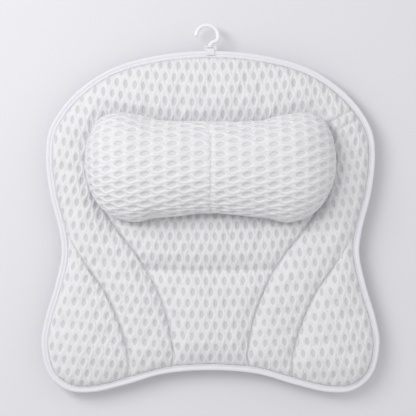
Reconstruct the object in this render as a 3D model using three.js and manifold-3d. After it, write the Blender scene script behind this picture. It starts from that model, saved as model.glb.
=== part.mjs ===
// A quilted bath pillow: a butterfly-shaped pad of air mesh with a bound edge, a stuffed headrest sewn on
// its face, a swivel hanging hook at the top, and six suction cups held in webbing straps on its back.
// Millimetres. +Z is the way the face looks, +Y runs up to the hook, and the cups' rims lie on z = 0.
// The origin is under the middle of the whole outline, hook included.
import * as THREE from "three";
import { mergeVertices } from "three/addons/utils/BufferGeometryUtils.js";
import Module from "manifold-3d";

const wasm = await Module();
wasm.setup();

// Gaps
const clearance = 0.3; // between pieces that touch, and between one that turns and what holds it
const overrun = 2; // how far a cutting tool runs past what it cuts

// Pad
const padWidth = 420; // across the lower lobes
const padLength = 424; // from the top edge to the tips of the lobes
const padDepth = 23.5; // from the underside of the back cover to the crown of the face
const panelThickness = 2; // the air mesh of the face
const backThickness = 2.5; // the air mesh of the back
const flangeThickness = 2; // either cover where the binding grips it
const flangeWidth = 9.4; // from the outline to where the face starts to rise
const backRampWidth = 24; // from the outline to where the back is flat
const coverInset = 2.4; // from the outline to the edge of either cover
const seamDepth = 11; // how far a seam is drawn in below the crown
const seamRise = 21; // how far from a seam the face reaches its crown
const tuckDepth = 6; // how far the tuck across the middle is drawn in
const tuckRise = 24;
const edgeRise = 34; // how far from the flange the face reaches its crown
const seamAllowance = 1.2; // the flat beside a seam
const outlineSteps = 84;

// Right half of the outline, top centre to bottom centre: shares of half the width, and of the length
const outlineShares = [
  [0, 0], [0.36, 0.018], [0.62, 0.06], [0.83, 0.139], [0.95, 0.228], [0.973, 0.3], [0.952, 0.41],
  [0.893, 0.53], [0.88, 0.59], [0.915, 0.68], [0.975, 0.78], [1, 0.86], [0.952, 0.95], [0.84, 0.994],
  [0.7, 0.999], [0.5, 0.977], [0.28, 0.946], [0, 0.935],
];
// Right-hand seams, from the top down, in the same shares
const innerSeamShares = [
  [0.748, 0.356], [0.69, 0.4245], [0.548, 0.5236], [0.424, 0.604], [0.324, 0.69], [0.252, 0.788],
  [0.219, 0.882], [0.217, 0.935],
];
const outerSeamShares = [
  [0.85, 0.566], [0.729, 0.627], [0.614, 0.71], [0.533, 0.8], [0.482, 0.895], [0.473, 0.955],
];
const tuckShare = 0.641; // of the length, down from the top
const joinShare = 0.356; // where the upper and centre panels meet, under the headrest
// Where the samples across a panel lie, as shares of its width
const acrossShares = [0.07, 0.2, 0.45, 0.7, 0.88];
const centreAcrossShares = [0.04, 0.13, 0.3, 0.5, 0.7, 0.87, 0.96];
const aboveTuckShares = [0, 0.18, 0.36, 0.62, 0.8, 0.93, 1];
const belowTuckShares = [0.07, 0.2, 0.38, 0.6, 0.82, 1];
const seamEndInset = 15; // from the outline to the end of a seam's groove
const seamEndShare = 0.012; // of its seam's length, how far a lobe's corners keep from the seam's ends
const joinSteps = 5; // steps over half the join
const seamSlant = 1.6; // what a slanting seam's slit takes more across than square to it
const firstColumnShare = 0.15; // of a step, from the waist to the first column above it
const waistRow = 2; // the row whose end on the inner seam is paired with the start of the outer seam

// Binding
const bindingThickness = 0.9;
const bindingWidth = 8;
const bindingBead = 3.6; // from the outline to the top of its rounded edge
const threadThickness = 0.7;
const threadEndShare = 0.3; // of a step, how far a seam's thread ends before its groove
const bindingThreadInset = 6.6; // the stitch line

// Headrest
const headrestWidth = 304;
const headrestLength = 132;
const headrestHeight = 60; // above the face of the pad
const headrestWaistShare = 0.42; // of the height, where it is widest
const headrestSpineShare = 0.58; // of half the width, how far out its straight crown runs
const headrestPlaceShare = 0.342; // of the pad's length, down from the top
const headrestSteps = 36;
const headrestFullness = 0.72; // power of the cosine that shapes its side
const headrestFootAngle = 50; // degrees below its widest line
const headrestThreadAngle = -40; // degrees, where its thread starts
const headrestAngles = [-50, -25, 0, 25, 48, 66, 80]; // degrees, one for each ring
// Right half of its outline, top centre to bottom centre: shares of half the width and half the length
const headrestShares = [
  [0, 0.84], [0.36, 0.87], [0.62, 0.975], [0.78, 1], [0.91, 0.85], [0.985, 0.45], [1, 0.05],
  [0.965, -0.4], [0.83, -0.84], [0.64, -1], [0.38, -0.93], [0, -0.86],
];

// Suction cups and their straps
const cupDiameter = 56;
const cupWall = 1.8;
const cupRimWidth = 1.6; // the flat lip that seals
const cupHollow = 9; // depth of the hollow
const cupBellHeight = 12;
const cupNeckDiameter = 7.6;
const cupHeadDiameter = 16;
const cupHeadHeight = 3.2;
const pullTabWidth = 10;
const pullTabLength = 9;
const pullTabThickness = 1.6;
const pullTabSteps = 4;
const strapLength = 60;
const strapWidth = 22;
const strapThickness = 1.2;
const strapFootLength = 11; // the sewn end
const strapBridgeLength = 24; // the flat that the neck passes through
const strapDrop = 2.2; // from the bell to the strap
const strapStitchInset = 1.6; // from the edge of the sewn end
const cupSteps = 16;
// Places of the right-hand cups: shares of half the width, and of the length down from the top
const cupPlaceShares = [[0.46, 0.17], [0.6, 0.5], [0.64, 0.86]];
// The bell's wall: shares of the cup's radius and of the hollow's depth, or of the bell's height
const hollowShares = [[0.4, 0.93], [0.76, 0.56]];
const bellShares = [[0.86, 0.36], [0.55, 0.79]];

// Hanging hook
const hookWire = 5;
const hookRadius = 13.6; // of the ring's centre line
const hookOffset = 4.4; // of the ring's centre to the left of the swivel
const hookRingRise = 12.2; // of the ring's centre above the collar's foot
const hookStartAngle = 182; // degrees, at the tip
const hookEndAngle = -38; // degrees, where the ring turns in to the collar
const hookSteps = 22;
const hookSides = 8;
const hookTipShares = [[1, 0.55], [0.6, 0.85]]; // how far past the ring, and how wide, in wire radii
const collarDiameter = 6.4;
const collarHeight = 3.4;
const shankDiameter = 3;
const shankHeadDiameter = 4.8;
const shankHeadHeight = 0.6;
const barDiameter = 2;
const frameWidth = 14.8;
const frameArm = 1.5;
const bossDiameter = 6.4;
const bossHeight = 1.5;
const baseSides = 12;
const tabWidth = 10.2;
const tabThickness = 0.6;
const tabBendSteps = 7;
const tabLegLength = 5.6; // on the binding
const tackWidth = 8;
const tackLength = 1.2;
const tackInset = 2; // from the end of the tab's leg

// Levels above the floor
const neckFoot = cupBellHeight;
const strapLevel = neckFoot + strapDrop; // underside of a strap's bridge
const headFoot = strapLevel + strapThickness + clearance;
const headTop = headFoot + cupHeadHeight;
const backLevel = headTop + 2 * clearance; // underside of the back cover
const backTop = backLevel + backThickness;
const crownLevel = backLevel + padDepth;
const rimMiddle = backTop + backThickness / 2 + clearance; // where the two covers meet in the binding
const rimTop = rimMiddle + clearance / 2 + flangeThickness;
const rimBottom = rimMiddle - clearance / 2 - flangeThickness;
const bindingHalf = flangeThickness + 1.5 * clearance + bindingThickness; // half its thickness
const headrestFoot = crownLevel + clearance;

// Levels up from the pad's top edge, for the hook
const barRise = barDiameter / 2 + clearance; // of the bar's axis
const loopRise = barRise + barDiameter / 2 + clearance + tabThickness;
const shankHeadFoot = loopRise + clearance;
const bossFoot = shankHeadFoot + shankHeadHeight + clearance;
const bossTop = bossFoot + bossHeight;
const collarFoot = bossTop + clearance;
const ringMiddle = collarFoot + hookRingRise;
const hookRise = ringMiddle + hookRadius + hookWire / 2;
const padTop = (padLength - hookRise) / 2; // y of the pad's top edge

const radians = THREE.MathUtils.degToRad;
const mix = THREE.MathUtils.lerp;

// Materials
const fabric = (color, roughness) => new THREE.MeshStandardMaterial({ color, roughness, metalness: 0 });
const airMesh = fabric(0xf1f1f2, 0.85);
const backMesh = fabric(0xe9e9ec, 0.88);
const bindingTape = fabric(0xf3f2f6, 0.6);
const threadWhite = fabric(0xf6f6f8, 0.5);
const waddingWhite = fabric(0xf7f7f5, 0.95);
const webbing = fabric(0xf0f0f2, 0.75);
const hookPlastic = new THREE.MeshStandardMaterial({ color: 0xf4f4f6, roughness: 0.3, metalness: 0 });
const clearVinyl = new THREE.MeshStandardMaterial({
  color: 0xdfe6ea, roughness: 0.15, metalness: 0, transparent: true, opacity: 0.5,
});

const root = new THREE.Group();

function addMesh(name, geometry, material) {
  const mesh = new THREE.Mesh(geometry, material);
  mesh.name = name;
  root.add(mesh);
  return mesh;
}

// Solid geometry from points and triangles, turned so that its faces point out.
function closedGeometry(points, triangles) {
  const corners = triangles.map((t) => t.map((i) => points[i]));
  const volume = corners.reduce((sum, [a, b, c]) => sum + a.dot(b.clone().cross(c)), 0);
  const ordered = volume < 0 ? triangles.map(([a, b, c]) => [a, c, b]) : triangles;
  const geometry = new THREE.BufferGeometry().setFromPoints(points);
  geometry.setIndex(ordered.flat());
  return geometry;
}

// A solid between an upper and a lower sheet, each a grid of points with the same rows and columns.
function sheetSolid(upper, lower) {
  const rows = upper.length;
  const columns = upper[0].length;
  const points = [...upper.flat(), ...lower.flat()];
  const at = (side, i, j) => side * rows * columns + i * columns + j;
  const triangles = [];
  for (let i = 0; i + 1 < rows; i++) {
    for (let j = 0; j + 1 < columns; j++) {
      const [a, b, c, d] = [[i, j], [i + 1, j], [i + 1, j + 1], [i, j + 1]];
      triangles.push([at(0, ...a), at(0, ...b), at(0, ...c)], [at(0, ...a), at(0, ...c), at(0, ...d)]);
      triangles.push([at(1, ...a), at(1, ...c), at(1, ...b)], [at(1, ...a), at(1, ...d), at(1, ...c)]);
    }
  }
  const rim = [];
  for (let j = 0; j + 1 < columns; j++) rim.push([0, j]);
  for (let i = 0; i + 1 < rows; i++) rim.push([i, columns - 1]);
  for (let j = columns - 1; j > 0; j--) rim.push([rows - 1, j]);
  for (let i = rows - 1; i > 0; i--) rim.push([i, 0]);
  rim.forEach((a, k) => {
    const b = rim[(k + 1) % rim.length];
    triangles.push([at(0, ...a), at(0, ...b), at(1, ...b)], [at(0, ...a), at(1, ...b), at(1, ...a)]);
  });
  return closedGeometry(points, triangles);
}

// A solid through rings of points. It joins its last ring to its first, or is capped at both ends.
function loft(rings, joined) {
  const around = rings[0].length;
  const points = rings.flat();
  const triangles = [];
  const spans = joined ? rings.length : rings.length - 1;
  for (let r = 0; r < spans; r++) {
    const next = (r + 1) % rings.length;
    for (let k = 0; k < around; k++) {
      const other = (k + 1) % around;
      const [a, b] = [r * around + k, r * around + other];
      const [c, d] = [next * around + other, next * around + k];
      triangles.push([a, b, c], [a, c, d]);
    }
  }
  if (!joined) {
    [[0, 1], [rings.length - 1, -1]].forEach(([r, turn]) => {
      const middle = rings[r].reduce((sum, p) => sum.add(p), new THREE.Vector3()).divideScalar(around);
      points.push(middle);
      for (let k = 0; k < around; k++) {
        const [a, b] = [r * around + k, r * around + ((k + 1) % around)];
        triangles.push(turn > 0 ? [points.length - 1, b, a] : [points.length - 1, a, b]);
      }
    });
  }
  return closedGeometry(points, triangles);
}

// Geometry as a solid that can be joined or cut, and back.
function toSolid(geometry) {
  const bare = geometry.index ? geometry.toNonIndexed() : geometry.clone();
  const positions = new THREE.BufferGeometry().setAttribute("position", bare.getAttribute("position"));
  const merged = mergeVertices(positions);
  return new wasm.Manifold(new wasm.Mesh({
    numProp: 3,
    vertProperties: new Float32Array(merged.getAttribute("position").array),
    triVerts: new Uint32Array(merged.index.array),
  }));
}

function toGeometry(solid) {
  const mesh = solid.getMesh();
  const positions = [];
  for (let i = 0; i < mesh.numVert; i++) {
    positions.push(...mesh.vertProperties.subarray(i * mesh.numProp, i * mesh.numProp + 3));
  }
  const geometry = new THREE.BufferGeometry();
  geometry.setAttribute("position", new THREE.Float32BufferAttribute(positions, 3));
  geometry.setIndex([...mesh.triVerts]);
  return geometry;
}

// A point of the pad's plan from its shares.
const planPoint = ([x, y]) => new THREE.Vector2((x * padWidth) / 2, padTop - y * padLength);
const lift = (point, z) => new THREE.Vector3(point.x, point.y, z);
const mirrored = (point) => new THREE.Vector3(-point.x, point.y, point.z);

// A closed outline from its right half, as evenly spaced points with inward normals, which just reach the
// stated width to both sides and the stated lowest and highest y.
function closedOutline(half, steps, width, lowY, highY) {
  const left = half.slice(1, -1).reverse().map((p) => new THREE.Vector2(-p.x, p.y));
  const curve = new THREE.CatmullRomCurve3([...half, ...left].map((p) => lift(p, 0)), true, "centripetal");
  const spaced = curve.getSpacedPoints(steps).slice(0, steps);
  const box = new THREE.Box3().setFromPoints(spaced);
  const points = spaced.map((p) => new THREE.Vector2(
    (p.x * width) / (box.max.x - box.min.x),
    THREE.MathUtils.mapLinear(p.y, box.min.y, box.max.y, lowY, highY)));
  const normals = points.map((_, k) => {
    const along = points[(k + 1) % steps].clone().sub(points[(k + steps - 1) % steps]).normalize();
    return new THREE.Vector2(along.y, -along.x);
  });
  return { points, normals };
}

const outline = closedOutline(
  outlineShares.map(planPoint), outlineSteps, padWidth, padTop - padLength, padTop);

const insetPoint = (k, inset) => outline.points[k].clone().addScaledVector(outline.normals[k], inset);

// The outline at a share of its length, clockwise from the top, set in by a distance.
function alongOutline(share, inset) {
  const place = (((share % 1) + 1) % 1) * outlineSteps;
  const k = Math.floor(place) % outlineSteps;
  return insetPoint(k, inset).lerp(insetPoint((k + 1) % outlineSteps, inset), place - Math.floor(place));
}

// Distance from a point to a line of points, and the share of the line where it is nearest.
function nearestOn(line, point, closed = false) {
  let best = { distance: Infinity, share: 0 };
  const spans = closed ? line.length : line.length - 1;
  for (let k = 0; k < spans; k++) {
    const a = line[k];
    const along = line[(k + 1) % line.length].clone().sub(a);
    const t = THREE.MathUtils.clamp(point.clone().sub(a).dot(along) / along.lengthSq(), 0, 1);
    const distance = a.clone().addScaledVector(along, t).distanceTo(point);
    if (distance < best.distance) best = { distance, share: (k + t) / spans };
  }
  return best;
}

const outlineShareNear = (point) => nearestOn(outline.points, point, true).share;

// A seam as a smooth line, with its far end, and its near one if asked, set at their place from the edge.
function seamLine(shares, startsAtEdge) {
  const points = shares.map(planPoint);
  const last = points.length - 1;
  const toEdge = (p) => alongOutline(outlineShareNear(p), seamEndInset);
  points[last] = toEdge(points[last]);
  if (startsAtEdge) points[0] = toEdge(points[0]);
  const curve = new THREE.CatmullRomCurve3(points.map((p) => lift(p, 0)), false, "centripetal");
  return (share) => {
    const p = curve.getPointAt(THREE.MathUtils.clamp(share, 0, 1));
    return new THREE.Vector2(p.x, p.y);
  };
}

const stepsOf = (count) => Array.from({ length: count + 1 }, (_, k) => k / count);
const innerCurve = seamLine(innerSeamShares, false);
const outerCurve = seamLine(outerSeamShares, true);
const tuckY = padTop - tuckShare * padLength;
const joinY = padTop - joinShare * padLength;

// The share of a falling curve's length at which it passes a height.
function shareAtHeight(curve, y) {
  let [low, high] = [0, 1];
  const halvings = 24;
  for (let i = 0; i < halvings; i++) {
    const middle = (low + high) / 2;
    if (curve(middle).y > y) low = middle;
    else high = middle;
  }
  return low;
}

// Stations down the inner seam, level with the rows of the centre panel. The outer seam starts partway
// down, and its stations pair with those left of the inner one.
const seamFootY = innerCurve(1).y;
const rowHeights = [
  ...aboveTuckShares.map((s) => mix(joinY, tuckY, s)),
  ...belowTuckShares.map((s) => mix(tuckY, seamFootY, s)),
];
const innerStations = rowHeights.map((y) => shareAtHeight(innerCurve, y));
const stationsBelowWaist = innerStations.slice(waistRow);
const outerStations = stationsBelowWaist.map(
  (s) => (s - stationsBelowWaist[0]) / (1 - stationsBelowWaist[0]));
const innerLine = rowHeights.map((y, k) => new THREE.Vector2(innerCurve(innerStations[k]).x, y));
const outerLine = outerStations.map(outerCurve);
const tuckHalfWidth = innerLine[aboveTuckShares.length - 1].x;

// A point of a line of points: whole numbers are its points, and fractions lie between them.
function pointOn(line, place) {
  const k = Math.min(Math.floor(place), line.length - 2);
  return line[k].clone().lerp(line[k + 1], place - k);
}

// How the face rises from a seam or the edge: 0 on it, 1 from the stated distance on.
const rise = (distance, reach) => Math.sqrt(1 - (1 - THREE.MathUtils.clamp(distance / reach, 0, 1)) ** 2);

// Height of the face at a point of the plan.
function faceHeight(point) {
  const right = new THREE.Vector2(Math.abs(point.x), point.y);
  const fromEdge = nearestOn(outline.points, point, true).distance - flangeWidth;
  const fromSeam = Math.min(nearestOn(innerLine, right).distance, nearestOn(outerLine, right).distance);
  const pastTuck = Math.max(right.x - tuckHalfWidth, 0);
  const fromTuck = Math.hypot(point.y - tuckY, pastTuck);
  return Math.min(
    mix(rimTop, crownLevel, rise(fromEdge, edgeRise)),
    crownLevel - seamDepth * (1 - rise(fromSeam - seamAllowance, seamRise)),
    crownLevel - tuckDepth * (1 - rise(fromTuck - seamAllowance, tuckRise)),
  );
}

// A row of plan points from one edge of a panel to the other, with a flat allowance beside each edge.
function acrossRow(from, to, shares) {
  const along = to.clone().sub(from);
  const flat = Math.min(seamAllowance, along.length() / 4);
  along.normalize();
  const [a, b] = [from.clone().addScaledVector(along, flat), to.clone().addScaledVector(along, -flat)];
  return [from, a, ...shares.map((s) => a.clone().lerp(b, s)), b, to];
}

const seamGap = clearance; // half the slit between two panels at their seam

// The line between two seam points, drawn back from both by half the slit.
function drawnBack(from, to) {
  const along = to.clone().sub(from).normalize();
  return [from.clone().addScaledVector(along, seamGap), to.clone().addScaledVector(along, -seamGap)];
}

// Where a seam meets the outline: shares of its length that stay clear of the seam by the slit.
const slitShare = (seamSlant * seamGap) / (padWidth + padLength);
const outlineAt = (line, end) => outlineShareNear(line.at(end));

// A row of panel points that follows the outline between two shares of its length.
function rowAlongOutline(from, to, inset, shares) {
  const flat = seamAllowance / (padWidth + padLength) / 2;
  return [from, from + flat, ...shares.map((s) => mix(from, to, s)), to - flat, to]
    .map((s) => alongOutline(s, inset));
}

// A row of panel points from the edge of the cover, over its flange, to a seam.
function rowFromEdge(share, seamPoint) {
  const flange = alongOutline(share, flangeWidth);
  const [, end] = drawnBack(flange, seamPoint);
  const row = acrossRow(flange, end, acrossShares);
  row.splice(0, 2, alongOutline(share, coverInset), flange);
  return row;
}

// Plan of the upper panel: an arch over the headrest whose legs are the side strips. Its columns run from
// the right foot up to the top centre.
function upperColumns() {
  const columns = [coverInset, flangeWidth].map((inset) => rowAlongOutline(
    outlineAt(outerLine, -1) + slitShare, outlineAt(innerLine, -1) - slitShare, inset, acrossShares));
  for (let k = outerLine.length - 1; k >= 0; k--) {
    columns.push(acrossRow(...drawnBack(outerLine[k], innerLine[waistRow + k]), acrossShares));
  }
  const join = stepsOf(joinSteps).map((s) => innerLine[0].clone().multiply(new THREE.Vector2(1 - s, 1)));
  const inner = [...innerLine.slice(1, waistRow + 1).reverse(), ...join];
  const waist = outlineAt(outerLine, 0) - slitShare;
  const halfSteps = 2 * (inner.length - 1);
  const corner = acrossRow(
    alongOutline(waist, flangeWidth), drawnBack(outerLine[0], pointOn(inner, firstColumnShare / 2))[1],
    acrossShares);
  corner.splice(0, 2, alongOutline(waist, flangeWidth - clearance), alongOutline(waist, flangeWidth));
  columns.push(corner);
  for (let k = 0; k <= halfSteps; k++) {
    const place = Math.max(k, firstColumnShare);
    columns.push(rowFromEdge(waist * (1 - place / halfSteps), pointOn(inner, place / 2)));
  }
  return columns;
}

// Plan of a lobe: columns from its binding to the outer seam, from the waist down to the seam's foot.
function lobeColumns() {
  const waist = outlineAt(outerLine, 0) + slitShare;
  const foot = outlineAt(outerLine, -1) - slitShare;
  const lobeSteps = 2 * (outerLine.length - 1);
  return stepsOf(lobeSteps).map((share) => {
    const place = THREE.MathUtils.clamp(share, seamEndShare, 1 - seamEndShare) * (outerLine.length - 1);
    return rowFromEdge(mix(waist, foot, share), pointOn(outerLine, place));
  });
}

// Plan of the centre panel: rows from the right inner seam to the left one, top to bottom.
function centreRows() {
  const drawn = seamSlant * seamGap;
  const rows = innerLine.map((p, k) => {
    const right = new THREE.Vector2(p.x - drawn, k ? p.y : p.y - drawn);
    return acrossRow(right, new THREE.Vector2(-right.x, right.y), centreAcrossShares);
  });
  const foot = outlineAt(innerLine, -1) + slitShare;
  [flangeWidth, coverInset].forEach((inset) => {
    rows.push(rowAlongOutline(foot, 1 - foot, inset, centreAcrossShares));
  });
  return rows;
}

const lifted = (grid, height) => grid.map((row) => row.map((p) => lift(p, height(p))));
const lowered = (grid, drop) => grid.map((row) => row.map((p) => p.clone().setZ(p.z - drop)));
const mirroredGrid = (grid) => grid.map((row) => row.map(mirrored));
// A grid without its outer rows and columns.
const core = (grid, ends, sides) => grid.slice(ends[0], grid.length - ends[1])
  .map((row) => row.slice(sides[0], row.length - sides[1]));

// Height of the back cover's inside: flat, and ramped up to the rim.
function backInside(point) {
  const inset = nearestOn(outline.points, point, true).distance;
  const ramp = THREE.MathUtils.clamp((backRampWidth - inset) / (backRampWidth - flangeWidth), 0, 1);
  return mix(backTop, rimMiddle - clearance / 2, ramp);
}

// The wadding under a panel, which fills the space down to the back cover.
function waddingUnder(panel, ends, sides) {
  const inner = core(panel, ends, sides);
  const upper = lowered(inner, panelThickness + clearance);
  const floor = (p) => backInside(new THREE.Vector2(p.x, p.y)) + 2 * clearance;
  const ceiling = (p) => p.z - panelThickness - 2 * clearance;
  const lower = inner.map((row) => row.map((p) => p.clone().setZ(Math.min(floor(p), ceiling(p)))));
  return sheetSolid(upper, lower);
}

function buildFace() {
  const rightHalf = lifted(upperColumns(), faceHeight);
  const upper = [...rightHalf, ...mirroredGrid(rightHalf.slice(0, -1)).reverse()];
  const centre = lifted(centreRows(), faceHeight);
  const lobe = lifted(lobeColumns(), faceHeight);
  const leftLobe = mirroredGrid(lobe);
  const panel = (grid) => sheetSolid(grid, lowered(grid, panelThickness));
  addMesh("front_upper_panel", panel(upper), airMesh);
  addMesh("front_centre_panel", panel(centre), airMesh);
  addMesh("left_lobe_panel", panel(leftLobe), airMesh);
  addMesh("right_lobe_panel", panel(lobe), airMesh);
  const tuckRow = aboveTuckShares.length - 1;
  const aboveTuck = centre.slice(1, tuckRow);
  const belowTuck = centre.slice(tuckRow + 1);
  addMesh("upper_wadding", waddingUnder(upper, [3, 3], [3, 2]), waddingWhite);
  addMesh("centre_upper_wadding", waddingUnder(aboveTuck, [0, 0], [2, 2]), waddingWhite);
  addMesh("centre_lower_wadding", waddingUnder(belowTuck, [0, 3], [2, 2]), waddingWhite);
  addMesh("left_lobe_wadding", waddingUnder(leftLobe, [2, 2], [3, 2]), waddingWhite);
  addMesh("right_lobe_wadding", waddingUnder(lobe, [2, 2], [3, 2]), waddingWhite);
}

// The back cover: a flat field with a ramp up to the flange that the binding grips.
function buildBack() {
  const ring = (inset, z) => outline.points.map((_, k) => lift(insetPoint(k, inset), z));
  const rings = [
    ring(backRampWidth, backTop),
    ring(flangeWidth, rimMiddle - clearance / 2),
    ring(coverInset, rimMiddle - clearance / 2),
    ring(coverInset, rimBottom),
    ring(flangeWidth, rimBottom),
    ring(backRampWidth, backLevel),
  ];
  addMesh("back_cover", loft(rings, false), backMesh);
}

// The binding: a strip folded round the edge, rounded outside, with the covers between its two legs.
function buildBinding() {
  const half = bindingHalf;
  const gap = half - bindingThickness;
  const bead = bindingBead;
  const upperSide = [
    [bindingWidth, gap],
    [bindingWidth, half - bindingThickness / 3],
    [bead, half],
    [bead / 4, half * 0.76],
  ];
  const profile = [
    ...upperSide,
    [0, 0],
    ...upperSide.slice().reverse().map(([inset, z]) => [inset, -z]),
    [bindingThickness * 1.3, -gap], [bindingThickness * 1.3, gap],
  ];
  const swept = (section) => outline.points.map(
    (_, k) => section.map(([inset, z]) => lift(insetPoint(k, inset), rimMiddle + z)));
  addMesh("edge_binding", loft(swept(profile), true), bindingTape);
  const low = half + clearance / 2;
  const line = [[0, 0], [1, 0], [0.5, 1]].map(([s, t]) => [
    bindingThreadInset - s * threadThickness, low + t * threadThickness,
  ]);
  addMesh("binding_thread", loft(swept(line), true), threadWhite);
}

// A thread of diamond section that lies in a groove, along a line of plan points.
function threadAlong(line) {
  const radius = threadThickness / 2;
  const rings = line.map((p, k) => {
    const before = line[Math.max(k - 1, 0)];
    const after = line[Math.min(k + 1, line.length - 1)];
    const side = after.clone().sub(before).normalize().multiplyScalar(radius);
    const z = faceHeight(p) + clearance + radius;
    return [
      new THREE.Vector3(p.x - side.y, p.y + side.x, z), lift(p, z - radius),
      new THREE.Vector3(p.x + side.y, p.y - side.x, z), lift(p, z + radius),
    ];
  });
  return rings;
}

function buildSeams() {
  const thread = (name, rings) => addMesh(name, loft(rings, false), threadWhite);
  [["inner", innerLine], ["outer", outerLine]].forEach(([which, line]) => {
    const last = line.length - 1;
    const ends = [pointOn(line, threadEndShare), pointOn(line, last - threadEndShare)];
    const rings = threadAlong([ends[0], ...line.slice(1, last), ends[1]]);
    thread(`right_${which}_seam_thread`, rings);
    thread(`left_${which}_seam_thread`, mirroredGrid(rings));
  });
  const tuck = centreRows()[aboveTuckShares.length - 1].slice(2, -2);
  thread("centre_tuck_thread", threadAlong(tuck));
}

// The headrest: rings about a straight spine, widest partway up and drawn in at the foot.
const headrestOutline = closedOutline(
  headrestShares.map(([x, y]) => new THREE.Vector2((x * headrestWidth) / 2, (y * headrestLength) / 2)),
  headrestSteps, headrestWidth, -headrestLength / 2, headrestLength / 2);

function headrestRing(angle, offset) {
  const turn = radians(angle);
  const waist = headrestHeight * headrestWaistShare;
  const below = ((waist - offset) * Math.sin(turn)) / Math.sin(radians(headrestFootAngle));
  const above = (headrestHeight - waist - offset) * Math.sin(turn);
  const height = headrestFoot + waist + (angle < 0 ? below : above);
  const spineEnd = (headrestSpineShare * headrestWidth) / 2;
  const centreY = padTop - headrestPlaceShare * padLength;
  return headrestOutline.points.map((p) => {
    const spine = new THREE.Vector2(THREE.MathUtils.clamp(p.x, -spineEnd, spineEnd), 0);
    const out = p.clone().sub(spine);
    const reach = out.length() * Math.cos(turn) ** headrestFullness - offset * Math.cos(turn);
    out.setLength(reach).add(spine);
    return new THREE.Vector3(out.x, out.y + centreY, height);
  });
}

function buildHeadrest() {
  const outer = headrestAngles.map((a) => headrestRing(a, 0));
  const inner = headrestAngles.map((a) => headrestRing(a, panelThickness));
  const shell = toSolid(loft([...outer.slice().reverse(), ...inner], false));
  const size = headrestWidth + headrestLength;
  const halfSpace = (side) => toSolid(new THREE.BoxGeometry(size, size, size).translate(
    side * (size / 2 + clearance / 2), padTop - headrestPlaceShare * padLength, headrestFoot));
  addMesh("headrest_left_cover", toGeometry(shell.intersect(halfSpace(-1))), airMesh);
  addMesh("headrest_right_cover", toGeometry(shell.intersect(halfSpace(1))), airMesh);

  const baseRing = headrestRing(headrestAngles[0], panelThickness + 3 * clearance);
  const level = (z) => baseRing.map((p) => p.clone().setZ(z));
  const base = loft([level(headrestFoot), level(headrestFoot + panelThickness)], false);
  addMesh("headrest_base_panel", base, airMesh);
  const filling = headrestAngles.map((a) => headrestRing(a, panelThickness + 2 * clearance));
  addMesh("headrest_filling", loft(filling, false), waddingWhite);

  const radius = threadThickness / 2;
  const lip = -(clearance + radius);
  const rings = [headrestThreadAngle, ...headrestAngles.slice(1)].map((a) => headrestRing(a, lip));
  const sides = [0, headrestSteps / 2].map((k) => rings.map((ring) => ring[k]));
  const path = [...sides[0], ...sides[1].reverse()];
  const heart = new THREE.Vector3(0, padTop - headrestPlaceShare * padLength, headrestFoot);
  const sections = path.map((p) => {
    const out = p.clone().sub(heart).normalize().multiplyScalar(radius);
    const across = new THREE.Vector3(radius, 0, 0);
    return [p.clone().add(out), p.clone().add(across), p.clone().sub(out), p.clone().sub(across)];
  });
  addMesh("headrest_seam_thread", loft(sections, false), threadWhite);
}

// A turned solid about +Z from its profile of radius and height.
function turned(profile, steps) {
  const points = profile.map(([radius, height]) => new THREE.Vector2(radius, height));
  const geometry = new THREE.LatheGeometry(points, steps).rotateX(Math.PI / 2);
  const solid = mergeVertices(new THREE.BufferGeometry()
    .setAttribute("position", geometry.getAttribute("position")).setIndex(geometry.index));
  const position = solid.getAttribute("position");
  const corners = Array.from({ length: position.count }, (_, i) => (
    new THREE.Vector3().fromBufferAttribute(position, i)));
  const triangles = [];
  for (let i = 0; i < solid.index.count; i += 3) {
    const t = [solid.index.getX(i), solid.index.getX(i + 1), solid.index.getX(i + 2)];
    if (new Set(t).size === 3) triangles.push(t);
  }
  return closedGeometry(corners, triangles);
}

const cylinder = (radius, height, steps) => turned(
  [[0, 0], [radius, 0], [radius, height], [0, height]], steps);

// A suction cup: hollow bell, neck and a mushroom head that buttons through the strap.
function cupGeometry() {
  const radius = cupDiameter / 2;
  const neck = cupNeckDiameter / 2;
  const head = cupHeadDiameter / 2;
  const hollowRadius = radius - cupRimWidth;
  const profile = [
    [0, cupHollow],
    ...hollowShares.map(([r, z]) => [r * hollowRadius, z * cupHollow]),
    [hollowRadius, 0],
    [radius, 0],
    [radius, cupWall / 2],
    ...bellShares.map(([r, z]) => [r * radius, z * cupBellHeight]),
    [neck, neckFoot],
    [neck, headFoot],
    [head, headFoot],
    [head, headFoot + cupHeadHeight / 3],
    [head - cupHeadHeight / 2, headTop],
    [0, headTop],
  ];
  const bell = toSolid(turned(profile, cupSteps));
  const half = pullTabWidth / 2;
  const from = radius - cupRimWidth;
  const to = radius + pullTabLength - half;
  const tongue = new THREE.Shape().moveTo(-half, from).lineTo(half, from).lineTo(half, to)
    .absarc(0, to, half, 0, Math.PI, false).lineTo(-half, from);
  const tab = new THREE.ExtrudeGeometry(tongue, {
    depth: pullTabThickness, bevelEnabled: false, curveSegments: pullTabSteps,
  });
  const tabSolid = toSolid(tab.translate(0, 0, cupWall / 6));
  const bore = toSolid(cylinder(hollowRadius, cupHollow / 3, cupSteps).translate(0, 0, -cupHollow / 6));
  return toGeometry(bell.add(tabSolid.subtract(bore)));
}

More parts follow.
